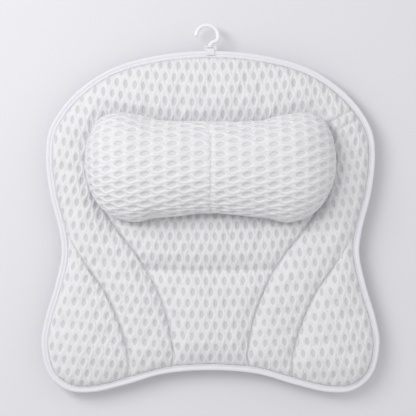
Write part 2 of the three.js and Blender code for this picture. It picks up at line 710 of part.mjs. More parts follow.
// A webbing strap, sewn down at both ends, with a hole for the cup's neck in its raised middle.
function strapGeometry() {
  const half = strapLength / 2;
  const foot = half - strapFootLength;
  const bridge = strapBridgeLength / 2;
  const low = strapLevel;
  const high = backLevel - clearance - strapThickness;
  const under = [[-half, high], [-foot, high], [-bridge, low], [bridge, low], [foot, high], [half, high]];
  const over = under.slice().reverse().map(([s, z]) => [s, z + strapThickness]);
  const shape = new THREE.Shape([...under, ...over].map(([s, z]) => new THREE.Vector2(s, z)));
  const band = new THREE.ExtrudeGeometry(shape, { depth: strapWidth, bevelEnabled: false });
  band.rotateX(Math.PI / 2).translate(0, strapWidth / 2, 0);
  const hole = cylinder(cupNeckDiameter / 2 + clearance, strapThickness + 2 * overrun, cupSteps);
  hole.translate(0, 0, low - overrun);
  return toGeometry(toSolid(band).subtract(toSolid(hole)));
}

// A box of stitches on one sewn end of a strap, as one flat frame of thread.
function boxStitchGeometry() {
  const rectangle = (width, length) => [
    new THREE.Vector2(-width / 2, -length / 2), new THREE.Vector2(width / 2, -length / 2),
    new THREE.Vector2(width / 2, length / 2), new THREE.Vector2(-width / 2, length / 2),
  ];
  const width = strapFootLength - 2 * strapStitchInset;
  const length = strapWidth - 2 * strapStitchInset;
  const shape = new THREE.Shape(rectangle(width, length));
  shape.holes.push(new THREE.Path(rectangle(width - 2 * threadThickness, length - 2 * threadThickness)));
  return new THREE.ExtrudeGeometry(shape, { depth: threadThickness / 2, bevelEnabled: false });
}

function buildCups() {
  const cup = cupGeometry();
  const strap = strapGeometry();
  const stitch = boxStitchGeometry();
  const stitchLevel = backLevel - 2 * clearance - strapThickness - threadThickness / 2;
  const stitchPlace = (strapLength - strapFootLength) / 2;
  let number = 0;
  cupPlaceShares.forEach((shares) => [-1, 1].forEach((side) => {
    number += 1;
    const place = planPoint(shares);
    const [x, y] = [side * place.x, place.y];
    addMesh(`suction_cup_${number}`, cup.clone(), clearVinyl).position.set(x, y, 0);
    addMesh(`cup_strap_${number}`, strap.clone(), webbing).position.set(x, y, 0);
    [["left", -1], ["right", 1]].forEach(([end, way]) => {
      addMesh(`strap_${number}_${end}_stitching`, stitch.clone(), threadWhite)
        .position.set(x + way * stitchPlace, y, stitchLevel);
    });
  }));
}

// The hook: an open ring of round wire that runs into a collar, with a headed shank below it.
function hookGeometry() {
  const ring = new THREE.Vector2(-hookOffset, ringMiddle);
  const wire = hookWire / 2;
  const collar = collarDiameter / 2;
  const section = (middle, along, radius) => stepsOf(hookSides).slice(0, hookSides).map((s) => {
    const turn = 2 * Math.PI * s;
    const side = new THREE.Vector2(-along.y, along.x).multiplyScalar(radius * Math.cos(turn));
    return new THREE.Vector3(middle.x + side.x, middle.y + side.y, radius * Math.sin(turn));
  });
  const place = (angle) => {
    const turn = radians(angle);
    const out = new THREE.Vector2(Math.cos(turn), Math.sin(turn));
    const middle = ring.clone().addScaledVector(out, hookRadius);
    return { middle, along: new THREE.Vector2(out.y, -out.x) };
  };
  const tip = place(hookStartAngle);
  const rings = hookTipShares.map(([back, size]) => section(
    tip.middle.clone().addScaledVector(tip.along, -back * wire), tip.along, size * wire));
  stepsOf(hookSteps).forEach((s) => {
    const { middle, along } = place(mix(hookStartAngle, hookEndAngle, s));
    rings.push(section(middle, along, wire));
  });
  const end = place(hookEndAngle);
  const target = new THREE.Vector2(0, collarFoot + collarHeight / 2);
  const stem = target.clone().sub(end.middle).normalize();
  const turnIn = end.along.clone().add(stem).normalize();
  rings.push(section(end.middle.clone().lerp(target, 0.45), turnIn, wire * 0.8));
  rings.push(section(target, stem, collar * 0.6));
  const profile = [
    [0, shankHeadFoot], [shankHeadDiameter / 2, shankHeadFoot],
    [shankHeadDiameter / 2, shankHeadFoot + shankHeadHeight],
    [shankDiameter / 2, shankHeadFoot + shankHeadHeight], [shankDiameter / 2, collarFoot],
    [collar, collarFoot], [collar, collarFoot + collarHeight * 0.7],
    [collar * 0.6, collarFoot + collarHeight], [0, collarFoot + collarHeight],
  ];
  const post = turned(profile, 2 * hookSides).rotateX(-Math.PI / 2);
  return toGeometry(toSolid(loft(rings, false)).add(toSolid(post)));
}

// The hook's base: a frame with a round bar for the tab and a bored boss for the shank.
function baseGeometry() {
  const half = frameWidth / 2;
  const upright = (radius, length) => cylinder(radius, length, baseSides).rotateX(-Math.PI / 2);
  const bar = toSolid(cylinder(barDiameter / 2, frameWidth, baseSides).rotateY(Math.PI / 2)
    .translate(-half, barRise, 0));
  const armHeight = bossTop - barRise;
  const arm = (side) => toSolid(new THREE.BoxGeometry(frameArm, armHeight, barDiameter)
    .translate(side * (half - frameArm / 2), barRise + armHeight / 2, 0));
  const beam = toSolid(new THREE.BoxGeometry(frameWidth, bossHeight, barDiameter)
    .translate(0, bossTop - bossHeight / 2, 0));
  const boss = toSolid(upright(bossDiameter / 2, bossHeight).translate(0, bossFoot, 0));
  const bore = toSolid(upright(shankDiameter / 2 + clearance, bossHeight + 2 * overrun)
    .translate(0, bossFoot - overrun, 0));
  return toGeometry(bar.add(arm(-1)).add(arm(1)).add(beam).add(boss).subtract(bore));
}

// The tab: tape that runs round the bar and down both faces of the binding.
function tabGeometry() {
  const inner = barDiameter / 2 + clearance;
  const legs = bindingHalf + clearance;
  const side = (offset) => [
    ...stepsOf(tabBendSteps).map((s) => {
      const turn = mix(0, Math.PI / 2, s);
      return [barRise + (inner + offset) * Math.cos(turn), (inner + offset) * Math.sin(turn)];
    }),
    [0, inner * 1.1 + offset], [-bindingBead / 2, legs + offset], [-tabLegLength, legs + offset],
  ];
  const closedHalf = (offset) => {
    const upper = side(offset);
    return [...upper.slice(1).reverse().map(([y, z]) => [y, -z]), ...upper];
  };
  const hairpin = [...closedHalf(0), ...closedHalf(tabThickness).reverse()];
  const shape = new THREE.Shape(hairpin.map(([y, z]) => new THREE.Vector2(y, z)));
  const band = new THREE.ExtrudeGeometry(shape, { depth: tabWidth, bevelEnabled: false });
  // The shape's x and y become the pad's y and z, and its depth runs along x.
  const turn = new THREE.Matrix4().makeBasis(
    new THREE.Vector3(0, 1, 0), new THREE.Vector3(0, 0, 1), new THREE.Vector3(1, 0, 0));
  return band.applyMatrix4(turn).translate(-tabWidth / 2, 0, 0);
}

function buildHook() {
  const place = (mesh) => mesh.position.set(0, padTop, rimMiddle);
  place(addMesh("hanging_hook", hookGeometry(), hookPlastic));
  place(addMesh("hook_base", baseGeometry(), hookPlastic));
  place(addMesh("hook_tab", tabGeometry(), bindingTape));
  const tackLevel = bindingHalf + 2 * clearance + tabThickness;
  place(addMesh("hook_tab_thread", new THREE.BoxGeometry(tackWidth, tackLength, threadThickness)
    .translate(0, tackInset - tabLegLength, tackLevel + threadThickness / 2), threadWhite));
}

buildBack();
buildFace();
buildBinding();
buildSeams();
buildHeadrest();
buildHook();
buildCups();

export default root;
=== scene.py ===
"""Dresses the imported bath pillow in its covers, binding, stitches, hook, cups and straps, on a pale floor.

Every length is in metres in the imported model's frame: +Z is the way the face looks, +Y runs up to the hook,
and the cups stand on z = 0. Named sizes are written in millimetres times MM.
"""

from __future__ import annotations

import logging
import math
from collections.abc import Callable, Sequence
from dataclasses import dataclass, field
from enum import Enum

import bmesh
import bpy
import numpy as np
from bmesh.types import BMesh
from bpy.types import Node, NodeSocket, NodeTree, Object
from mathutils import Matrix, Vector
from mathutils.kdtree import KDTree

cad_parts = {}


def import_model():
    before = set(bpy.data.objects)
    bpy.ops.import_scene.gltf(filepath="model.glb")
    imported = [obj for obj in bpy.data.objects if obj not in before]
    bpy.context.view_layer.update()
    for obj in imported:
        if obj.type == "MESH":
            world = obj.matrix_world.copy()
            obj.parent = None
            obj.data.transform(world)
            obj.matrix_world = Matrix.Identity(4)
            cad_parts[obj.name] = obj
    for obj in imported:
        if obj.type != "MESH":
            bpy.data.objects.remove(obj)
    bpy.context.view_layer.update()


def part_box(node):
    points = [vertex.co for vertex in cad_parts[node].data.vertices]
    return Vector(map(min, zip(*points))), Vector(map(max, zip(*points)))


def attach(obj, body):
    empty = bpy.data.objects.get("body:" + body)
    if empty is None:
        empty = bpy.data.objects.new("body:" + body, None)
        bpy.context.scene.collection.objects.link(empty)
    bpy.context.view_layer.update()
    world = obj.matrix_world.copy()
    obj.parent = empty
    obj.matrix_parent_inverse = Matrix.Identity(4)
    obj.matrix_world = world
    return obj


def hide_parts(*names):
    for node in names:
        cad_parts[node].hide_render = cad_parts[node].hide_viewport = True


Array = np.ndarray
Pair = tuple[float, float]
LOG = logging.getLogger("bath_pillow")
MM = 0.001
BODY = "pad"
CUPS = 6


class Weave(Enum):
    """The surface detail of a textile finish."""

    FINE_MESH = "small round openings in a warp knit"
    TWILL_TAPE = "narrow woven tape"
    WEBBING = "coarse woven webbing"
    THREAD = "twisted thread"
    FLEECE = "matted fibres"


# Curves and distances


def smooth_line(points: Sequence[Sequence[float]], step: float, closed: bool) -> Array:
    """Runs a centripetal Catmull-Rom curve through points and spaces it evenly.

    Args:
        points: The points that the curve passes through.
        step: About how far apart the result's points are.
        closed: Whether the curve returns to its first point.

    Returns:
        The evenly spaced points, without a repeat of the first on a closed curve.
    """
    given = np.asarray(points, float)
    if closed:
        ring = np.vstack([given[-1], given, given[:2]])
    else:
        ring = np.vstack([2 * given[0] - given[1], given, 2 * given[-1] - given[-2]])
    samples = np.linspace(0, 1, 60, endpoint=False)[:, None]
    pieces = []
    for a, b, c, d in zip(ring, ring[1:], ring[2:], ring[3:]):
        before, here, after = (math.sqrt(np.linalg.norm(q - p)) for p, q in ((a, b), (b, c), (c, d)))
        start = ((b - a) / before - (c - a) / (before + here) + (c - b) / here) * here
        end = ((c - b) / here - (d - b) / (here + after) + (d - c) / after) * here
        pieces.append(
            b + start * samples + (3 * (c - b) - 2 * start - end) * samples**2
            + (2 * (b - c) + start + end) * samples**3
        )
    dense = np.vstack([*pieces, given[:1] if closed else given[-1:]])
    length = run_lengths(dense)
    count = max(2, round(length[-1] / step))
    places = np.linspace(0, length[-1], count + 1)
    even = np.stack([np.interp(places, length, dense[:, k]) for k in range(dense.shape[1])], axis=1)
    return even[:-1] if closed else even


def run_lengths(points: Array) -> Array:
    """How far along a line of points each of them is."""
    return np.concatenate([[0], np.cumsum(np.linalg.norm(np.diff(points, axis=0), axis=1))])


def to_right(at: Array) -> Array:
    """Plan points mirrored to the right-hand side."""
    return np.column_stack([np.abs(at[:, 0]), at[:, 1]])


@dataclass
class Line:
    """A line of evenly spaced plan points that answers how far away and where along it a point is."""

    points: Array
    closed: bool = False

    def __post_init__(self) -> None:
        """Builds the search tree."""
        self.tree = KDTree(len(self.points))
        for k, (x, y) in enumerate(self.points):
            self.tree.insert((x, y, 0), k)
        self.tree.balance()

    def nearest(self, at: Array) -> tuple[Array, Array, Array]:
        """Finds the nearest place on the line for each plan point.

        Args:
            at: Plan points, one a row.

        Returns:
            The distances, the places along the line counted in its points, and the nearest points.
        """
        count = len(self.points)
        index = np.array([self.tree.find((x, y, 0))[1] for x, y in at], int)
        best = np.full(len(at), np.inf)
        place = np.zeros(len(at))
        near = np.zeros((len(at), 2))
        for side in (-1, 0):
            first = index + side
            if not self.closed:
                first = np.clip(first, 0, count - 2)
            a = self.points[first % count]
            along = self.points[(first + 1) % count] - a
            t = np.clip(((at - a) * along).sum(1) / (along**2).sum(1), 0, 1)
            spot = a + along * t[:, None]
            distance = np.linalg.norm(at - spot, axis=1)
            better = distance < best
            best[better] = distance[better]
            place[better] = ((first + t) % count)[better]
            near[better] = spot[better]
        return best, place, near

    def normals(self) -> Array:
        """Unit normals to the left of the line's run, one for each point."""
        if self.closed:
            along = np.roll(self.points, -1, axis=0) - np.roll(self.points, 1, axis=0)
        else:
            along = np.gradient(self.points, axis=0)
        along /= np.linalg.norm(along, axis=1)[:, None]
        return np.stack([-along[:, 1], along[:, 0]], axis=1)


def rise(distance: Array, reach: float) -> Array:
    """A quarter-round rise from 0 at no distance to 1 at reach and beyond."""
    return np.sqrt(1 - (1 - np.clip(distance / reach, 0, 1)) ** 2)


def smoothstep(low: float, high: float, value: Array) -> Array:
    """A smooth step from 0 at low to 1 at high, which may run downwards."""
    t = np.clip((value - low) / (high - low), 0, 1)
    return t * t * (3 - 2 * t)


def ripple(at: Array, wavelength: float, seed: int) -> Array:
    """Smooth unevenness between about -1 and 1 over plan points, the same on each run.

    Args:
        at: Plan points, one a row.
        wavelength: The typical distance from crest to crest.
        seed: Picks the pattern.

    Returns:
        One value for each point.
    """
    draw = np.random.default_rng(seed)
    total = np.zeros(len(at))
    waves, crest = 7, 1.4  # crest is about the most that they add up to, in square roots of their number
    for _ in range(waves):
        turn, phase = draw.uniform(0, 2 * math.pi, 2)
        size = 2 * math.pi / (wavelength * draw.uniform(0.7, 1.5))
        total += np.sin((at[:, 0] * math.cos(turn) + at[:, 1] * math.sin(turn)) * size + phase)
    return total / math.sqrt(waves) / crest


# The fabric


@dataclass(frozen=True)
class Lattice:
    """The air mesh as it lies on a panel: rows of upright openings, each row half a pitch off the last."""

    across: float = 11.6 * MM  # from opening to opening in a row
    along: float = 14.6 * MM  # from row to row
    half_width: float = 2.6 * MM
    half_height: float = 6.0 * MM
    pinch: float = 0.45  # how much narrower an opening is at its ends
    narrowest: float = 0.3  # what the pinch leaves of its width at least
    lean: float = 0.0  # how far the openings' upper ends lean over, as a slope of the cell
    sway: float = 0.17  # how far the ribs wind from side to side, in pitches
    depth: float = 0.55 * MM
    mouth: float = 1.15  # how wide the hollow is, in openings
    bottom: float = 0.35  # how wide its flat bottom is, in openings
    rib_share: float = 0.3  # how high the ribs stand, in depths
    opening: Pair = (0.0, 0.0)  # the plan point of one opening
    angle: float = 0.0
    bow: float = 0.0  # how fast the rows rise towards both sides, per metre
    fan: float = 0.0  # how fast the columns spread downwards, per metre
    cuts_across: int = 10
    cuts_along: int = 12
    rounds: int = 14  # of the search that turns to_fabric round

    def to_fabric(self, plan: Array) -> Array:
        """Plan points as lengths along the fabric's rows and up across them."""
        c, s = math.cos(self.angle), math.sin(self.angle)
        moved = plan - np.array(self.opening)
        x, y = moved[:, 0] * c + moved[:, 1] * s, moved[:, 1] * c - moved[:, 0] * s
        rows = y - self.bow * x * x + self.along / 2
        return np.stack([x * (1 + self.fan * y) + self.across / 2, rows], axis=1)

    def to_plan(self, fabric: Array) -> Array:
        """Places on the fabric as plan points."""
        c, s = math.cos(self.angle), math.sin(self.angle)
        at = np.tile(self.opening, (len(fabric), 1))
        for _ in range(self.rounds):
            x, y = (fabric - self.to_fabric(at)).T
            at = at + np.stack([x * c - y * s, x * s + y * c], axis=1)
        return at

    def cell(self, fabric: Array) -> tuple[Array, Array]:
        """Where in their openings' cells places are, from -0.5 to 0.5 along the row and across it."""
        rows = fabric[:, 1] / self.along
        columns = fabric[:, 0] / self.across + 0.5 * (np.floor(rows) % 2)
        x, y = columns % 1 - 0.5, rows % 1 - 0.5
        return x - self.lean * np.sin(2 * math.pi * y) / (2 * math.pi), y

    def relief(self, fabric: Array) -> Array:
        """Height of the fabric over its own middle: bowls in the openings, ribs that wind between them."""
        x, y = self.cell(fabric)
        ribs = np.cos(2 * math.pi * x) * np.cos(math.pi * y)
        y = y * self.along / self.half_height
        x = x * self.across / self.half_width / np.maximum(1 - self.pinch * y * y, self.narrowest)
        hollow = smoothstep(self.mouth, self.bottom, np.hypot(x, y))
        return -self.depth * (hollow + self.rib_share * ribs)


@dataclass(frozen=True)
class ArchLattice(Lattice):
    """The mesh of the panel that arches over the headrest and hangs down both strips, alike left and right.

    Its own fields count in millimetres of the plan, in columns and in rows.
    """

    across: float = 11.3 * MM
    along: float = 14.97 * MM
    columns: Pair = (0.083, 0.0088)  # a millimetre on the strips, and what the arch has more
    columns_change: Pair = (-40, 80)  # the levels between which they change
    splay: Pair = (0.05, -10)  # how fast the strips' columns spread, and from what level down
    arch: float = 5.6e-5  # how fast the rows rise towards both sides
    strip_rows: float = 1.85  # how many rows higher the strips lie at strip_middle
    strip_middle: Pair = (148, -30)
    strip_tilt: Pair = (0.005, 0.46)  # how fast the rows rise outwards, and the strips' slope
    strip_foot: tuple[float, float, float] = (0.6, -100, -190)  # rows that the foot hangs lower, and where
    strip_top: Pair = (90, -20)  # the levels between which arch turns into strip

    def to_fabric(self, plan: Array) -> Array:
        """Plan points as lengths along the fabric's rows and up across them."""
        x, y = (plan - np.array(self.opening)).T / MM
        level = plan[:, 1] / MM
        tight = self.columns[0] + self.columns[1] * smoothstep(*self.columns_change, level)
        columns = tight * (x + self.splay[0] * np.sign(x) * np.minimum(level - self.splay[1], 0))
        arch = self.arch * x * x
        outwards = np.abs(x) - self.strip_middle[0] - self.strip_tilt[1] * (level - self.strip_middle[1])
        strip = self.strip_rows + self.strip_tilt[0] * outwards
        strip = strip + self.strip_foot[0] * smoothstep(*self.strip_foot[1:], level)
        rows = -y / (self.along / MM) + arch + (strip - arch) * smoothstep(*self.strip_top, level)
        return np.stack([(columns + 0.5) * self.across, (0.5 - rows) * self.along], axis=1)


@dataclass
class Swelling:
    """How far its stuffing moves a cover, on a square grid over the cover's own plane."""

    low: Array
    cell: float
    shift: Array  # by row, column and axis

    def at(self, places: Array) -> Array:
        """The movement at places on the cover's plane, by smooth interpolation."""
        spot = (places - self.low) / self.cell
        base = np.floor(spot).astype(int)
        t = (spot - base)[:, :, None]
        splines = [(1 - t) ** 3, 3 * t**3 - 6 * t**2 + 4, -3 * t**3 + 3 * t**2 + 3 * t + 1, t**3]
        taps = np.concatenate(splines, axis=2) / 6
        rows, columns = self.shift.shape[:2]
        total = np.zeros((len(places), 3))
        for j in range(4):
            row = np.clip(base[:, 1] + j - 1, 0, rows - 1)
            for k in range(4):
                column = np.clip(base[:, 0] + k - 1, 0, columns - 1)
                total += (taps[:, 1, j] * taps[:, 0, k])[:, None] * self.shift[row, column]
        return total


@dataclass
class Stuffing:
    """A cloth simulation that swells a cover from within while its seams hold it."""

    cell: float = 5 * MM
    pressure: float = 3.0
    slack: float = 0.015  # the share by which the cloth is longer than its rest shape
    mass: float = 0.15
    stretch: float = 12
    shear: float = 4
    bending: float = 0.4
    quality: int = 6
    frames: int = 20
    cap: float = 5 * MM  # the furthest that a point may move

    def swell(self, name: str, low: Sequence[float], high: Sequence[float],
              surface: Callable[[Array], Array], inside: Callable[[Array], Array],
              held: Callable[[Array], Array]) -> Swelling:
        """Simulates one cover.

        Args:
            name: A name for the log.
            low: The lowest place of the cover's plane.
            high: The highest place.
            surface: Gives the points in space of places on the plane.
            inside: Says which places are on the cover.
            held: Says which of them are sewn down.
        """
        low = np.asarray(low, float)
        counts = np.ceil((np.asarray(high, float) - low) / self.cell).astype(int)
        result = Swelling(low, self.cell, np.zeros((counts[1] + 1, counts[0] + 1, 3)))
        bm = bmesh.new()
        bmesh.ops.create_grid(bm, x_segments=int(counts[0]), y_segments=int(counts[1]), size=1)
        place_vertices(bm, np.column_stack([low + (coordinates(bm)[:, :2] + 1) / 2 * counts * self.cell,
                                            np.zeros(len(bm.verts))]))
        kept = inside(np.array([f.calc_center_median()[:2] for f in bm.faces], float))
        bm.faces.ensure_lookup_table()
        bmesh.ops.delete(bm, geom=[bm.faces[k] for k in np.flatnonzero(~kept)], context="FACES")
        at = coordinates(bm)[:, :2]
        sewn = held(at) | np.array([v.is_boundary for v in bm.verts])
        bmesh.ops.holes_fill(bm, edges=[e for e in bm.edges if e.is_boundary], sides=0)
        start = surface(at)
        place_vertices(bm, start)
        bmesh.ops.recalc_face_normals(bm, faces=bm.faces)
        if bm.calc_volume(signed=True) < 0:
            bmesh.ops.reverse_faces(bm, faces=bm.faces)
        piece = mesh_object(name, bm)
        mesh = piece.data
        group = piece.vertex_groups.new(name="sewn")
        group.add([int(k) for k in np.flatnonzero(sewn)], 1, "REPLACE")
        end = self.run(piece, group.name)
        bpy.data.objects.remove(piece)
        bpy.data.meshes.remove(mesh)
        moved = end - start
        length = np.linalg.norm(moved, axis=1)
        moved *= np.minimum(1, self.cap / np.maximum(length, 1e-9))[:, None]
        LOG.info("%s: swells by %.1f mm on average, %.1f mm at most before the cap", name,
                 length[~sewn].mean() / MM, length.max() / MM)
        column, row = np.rint((at - low) / self.cell).astype(int).T
        result.shift[row, column] = moved
        return result

    def run(self, piece: Object, sewn: str) -> Array:
        """Steps the simulation and gives the vertices' last places."""
        cloth = piece.modifiers.new("stuffing", "CLOTH")
        settings = cloth.settings
        settings.quality = self.quality
        settings.mass = self.mass
        settings.tension_stiffness = settings.compression_stiffness = self.stretch
        settings.shear_stiffness = self.shear
        settings.bending_stiffness = self.bending
        settings.use_pressure = True
        settings.uniform_pressure_force = self.pressure
        settings.shrink_min = -self.slack
        settings.vertex_group_mass = sewn
        settings.effector_weights.gravity = 0
        cloth.collision_settings.use_collision = False
        cloth.point_cache.frame_start, cloth.point_cache.frame_end = 1, self.frames
        scene = bpy.context.scene
        for frame in range(1, self.frames + 1):
            scene.frame_set(frame)
        seen = piece.evaluated_get(bpy.context.evaluated_depsgraph_get())
        shape = seen.to_mesh()
        end = np.empty(len(shape.vertices) * 3)
        shape.vertices.foreach_get("co", end)
        seen.to_mesh_clear()
        scene.frame_set(1)
        return end.reshape(-1, 3)


def add_object(name: str, data: bpy.types.ID) -> Object:
    """Puts a new object of a mesh, a lamp or a camera in the scene."""
    made = bpy.data.objects.new(name, data)
    bpy.context.scene.collection.objects.link(made)
    return made


def mesh_object(name: str, bm: BMesh) -> Object:
    """Puts a new object of a mesh, which is freed, in the scene."""
    mesh = bpy.data.meshes.new(name)
    bm.to_mesh(mesh)
    bm.free()
    return add_object(name, mesh)


def new_piece(name: str, bm: BMesh, finish: "Finish", slot: str, *nodes: str,
              body: str = BODY, fabric: Array | None = None,
              edge: Array | None = None) -> Object:
    """Makes a finished piece that rides on a body and stands for CAD nodes.

    Args:
        name: The piece's name.
        bm: Its mesh, which is freed.
        finish: What it is made of.
        slot: The name of a material slot; not used.
        nodes: The CAD nodes that it replaces.
        body: The body that it rides on.
        fabric: Each vertex's place on the fabric, kept in the UV map in metres.
        edge: How far each vertex is inside the nearest seam, kept as an attribute in millimetres.

    Returns:
        The new object.
    """
    piece = mesh_object(name, bm)
    mesh = piece.data
    if fabric is not None:
        corners = np.empty(len(mesh.loops), int)
        mesh.loops.foreach_get("vertex_index", corners)
        mesh.uv_layers.new(name="fabric").uv.foreach_set("vector", fabric[corners].ravel())
    if edge is not None:
        mesh.attributes.new("edge", "FLOAT", "POINT").data.foreach_set("value", edge / MM)
    mesh.shade_smooth()
    mesh.materials.append(finish.material())
    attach(piece, body)
    if nodes:
        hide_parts(*nodes)
    LOG.info("%s: %d faces", name, len(mesh.polygons))
    return piece


def coordinates(bm: BMesh) -> Array:
    """The places of a mesh's vertices, one a row."""
    return np.array([v.co for v in bm.verts], float).reshape(-1, 3)


def place_vertices(bm: BMesh, places: Array) -> None:
    """Moves a mesh's vertices to new places, one a row."""
    for vertex, place in zip(bm.verts, places):
        vertex.co = place


def thicken(piece: Object, thickness: float, offset: float = -1) -> None:
    """Gives a skin its thickness, inwards unless the offset is 1."""
    solid = piece.modifiers.new("thickness", "SOLIDIFY")
    solid.thickness, solid.offset = thickness, offset


def add_mesh(bm: BMesh, other: BMesh) -> None:
    """Adds another mesh, which is freed, to a mesh."""
    mesh = bpy.data.meshes.new("added")
    other.to_mesh(mesh)
    other.free()
    bm.from_mesh(mesh)
    bpy.data.meshes.remove(mesh)


def round_edges(bm: BMesh, edges: Sequence[bmesh.types.BMEdge], radius: float, segments: int) -> None:
    """Rounds edges of a mesh."""
    bmesh.ops.bevel(bm, geom=edges, offset=radius, offset_type="OFFSET", affect="EDGES", segments=segments,
                    profile=0.5, material=-1)


def loft(rings: Array, closed_run: bool = False, closed_ring: bool = True) -> BMesh:
    """Skins a run of rings of points.

    Args:
        rings: The points, by ring, place in the ring, and axis.
        closed_run: Whether the last ring joins the first.
        closed_ring: Whether each ring's last point joins its first.

    Returns:
        The skin, open at its ends.
    """
    if closed_ring:
        rings = np.concatenate([rings, rings[:, :1]], axis=1)
    if closed_run:
        rings = np.concatenate([rings, rings[:1]], axis=0)
    count, size = rings.shape[:2]
    bm = bmesh.new()
    bmesh.ops.create_grid(bm, x_segments=size - 1, y_segments=count - 1, size=1)
    index = np.rint((coordinates(bm)[:, :2] + 1) / 2 * (size - 1, count - 1)).astype(int)
    place_vertices(bm, rings[index[:, 1], index[:, 0]])
    bmesh.ops.remove_doubles(bm, verts=bm.verts, dist=0.001 * MM)
    return bm


def close_up(bm: BMesh) -> BMesh:
    """Fills a skin's open ends and turns its faces outwards."""
    bmesh.ops.holes_fill(bm, edges=[e for e in bm.edges if e.is_boundary], sides=0)
    bmesh.ops.recalc_face_normals(bm, faces=bm.faces)
    return bm


def spun(profile: Sequence[Sequence[float]], middle: Sequence[float], steps: int) -> BMesh:
    """Turns a profile of radius and height about an upright axis.

    Args:
        profile: Points from the axis back to the axis.
        middle: Plan point of the axis.
        steps: Steps of the full turn.

    Returns:
        The closed solid.
    """
    bm = bmesh.new()
    points = [bm.verts.new((middle[0] + r, middle[1], z)) for r, z in profile]
    edges = [bm.edges.new(pair) for pair in zip(points, points[1:])]
    bmesh.ops.spin(bm, geom=points + edges, cent=(*middle, 0), axis=(0, 0, 1), dvec=(0, 0, 0),
                   angle=2 * math.pi, steps=steps, use_merge=True, use_duplicate=False)
    bmesh.ops.remove_doubles(bm, verts=bm.verts, dist=0.001 * MM)
    bmesh.ops.recalc_face_normals(bm, faces=bm.faces)
    return bm


def wire(path: Array, radii: Sequence[float], sides: int, up: Sequence[float]) -> BMesh:
    """Sweeps a round section along a path.

    Args:
        path: The centreline's points.
        radii: The section's radius at each point.
        sides: Points round the section.
        up: A direction that the path never runs along.

    Returns:
        The closed tube.
    """
    along = np.gradient(path, axis=0)
    along /= np.linalg.norm(along, axis=1)[:, None]
    side = np.cross(along, np.array(up, float))
    side /= np.linalg.norm(side, axis=1)[:, None]
    top = np.cross(side, along)
    turn = np.linspace(0, 2 * math.pi, sides, endpoint=False)
    size = np.array(radii)[:, None, None]
    rings = path[:, None] + size * (np.cos(turn)[None, :, None] * side[:, None]
                                    + np.sin(turn)[None, :, None] * top[:, None])
    return close_up(loft(rings))


@dataclass(frozen=True)
class Stitch:
    """One visible loop of thread between two needle holes."""

    length: float = 3.0 * MM
    gap: float = 1.1 * MM
    radius: float = 0.36 * MM
    width_share: float = 1.1
    sides: int = 6
    rings: int = 4

    def add(self, bm: BMesh, middle: Array, along: Array, up: Array) -> None:
        """Adds a stitch to a mesh.

        Args:
            bm: The mesh.
            middle: The stitch's middle.
            along: The way that it runs.
            up: The surface's normal.
        """
        way = Vector(along).normalized()
        side = way.cross(Vector(up)).normalized()
        turn = Matrix((side, way.cross(side), way)).transposed().to_4x4()
        size = Matrix.Diagonal((self.radius * self.width_share, self.radius, self.length / 2, 1))
        bmesh.ops.create_uvsphere(bm, u_segments=self.sides, v_segments=self.rings, radius=1,
                                  matrix=Matrix.Translation(Vector(middle)) @ turn @ size)

    def run(self, bm: BMesh, path: Array, up: Sequence[float] = (0, 0, 1),
            closed: bool = False) -> None:
        """Adds stitches all along a path.

        Args:
            bm: The mesh.
            path: Points that the thread follows.
            up: The surface's normal.
            closed: Whether the path returns to its first point.
        """
        points = np.vstack([path, path[:1]]) if closed else path
        length = run_lengths(points)
        count = max(1, int(length[-1] / (self.length + self.gap)))
        for k in range(count):
            spots = (k + np.array([0.3, 0.5, 0.7])) / count * length[-1]  # before, at and after its middle
            start, middle, end = np.stack([np.interp(spots, length, points[:, a]) for a in range(3)], axis=1)
            self.add(bm, middle, end - start, np.array(up, float))


SEAM_STITCH = Stitch(2.6 * MM, 1.3 * MM, 0.3 * MM)


def cut_cloth(lattice: Lattice, box: tuple[Array, Array], keep: Callable[[Array], Array],
              edge: Line | None = None) -> tuple[BMesh, Array]:
    """Cuts a flat panel from a grid that follows the fabric's openings.

    Args:
        lattice: The fabric.
        box: Lowest and highest fabric place that the panel reaches.
        keep: Says of fabric places whether they are on the panel.
        edge: The panel's outline in fabric places, to which its border is drawn.

    Returns:
        The mesh, whose vertices lie at fabric places with z = 0, and those places.
    """
    step = np.array([lattice.across / lattice.cuts_across, lattice.along / lattice.cuts_along])
    low = np.floor(box[0] / step) * step
    counts = np.ceil((box[1] - low) / step).astype(int)
    bm = bmesh.new()
    bmesh.ops.create_grid(bm, x_segments=int(counts[0]), y_segments=int(counts[1]), size=1)
    fabric = coordinates(bm)[:, :2]
    fabric = low + (fabric + 1) / 2 * counts * step
    place_vertices(bm, np.column_stack([fabric, np.zeros(len(fabric))]))
    centres = np.array([f.calc_center_median()[:2] for f in bm.faces], float)
    inside = keep(centres)
    bm.faces.ensure_lookup_table()
    bmesh.ops.delete(bm, geom=[bm.faces[k] for k in np.flatnonzero(~inside)], context="FACES")
    if edge is not None:
        border = [v for v in bm.verts if v.is_boundary]
        _, _, near = edge.nearest(np.array([v.co[:2] for v in border], float))
        for vertex, spot in zip(border, near):
            vertex.co[:2] = spot
    bm.verts.index_update()
    return bm, coordinates(bm)[:, :2]


# Finishes


def srgb(text: str) -> tuple[float, float, float, float]:
    """Turns a hex sRGB colour such as F1F1F2 into linear red, green, blue and alpha."""
    parts = [int(text[k:k + 2], 16) / 255 for k in (0, 2, 4)]
    return (*(p / 12.92 if p <= 0.04045 else ((p + 0.055) / 1.055) ** 2.4 for p in parts), 1.0)


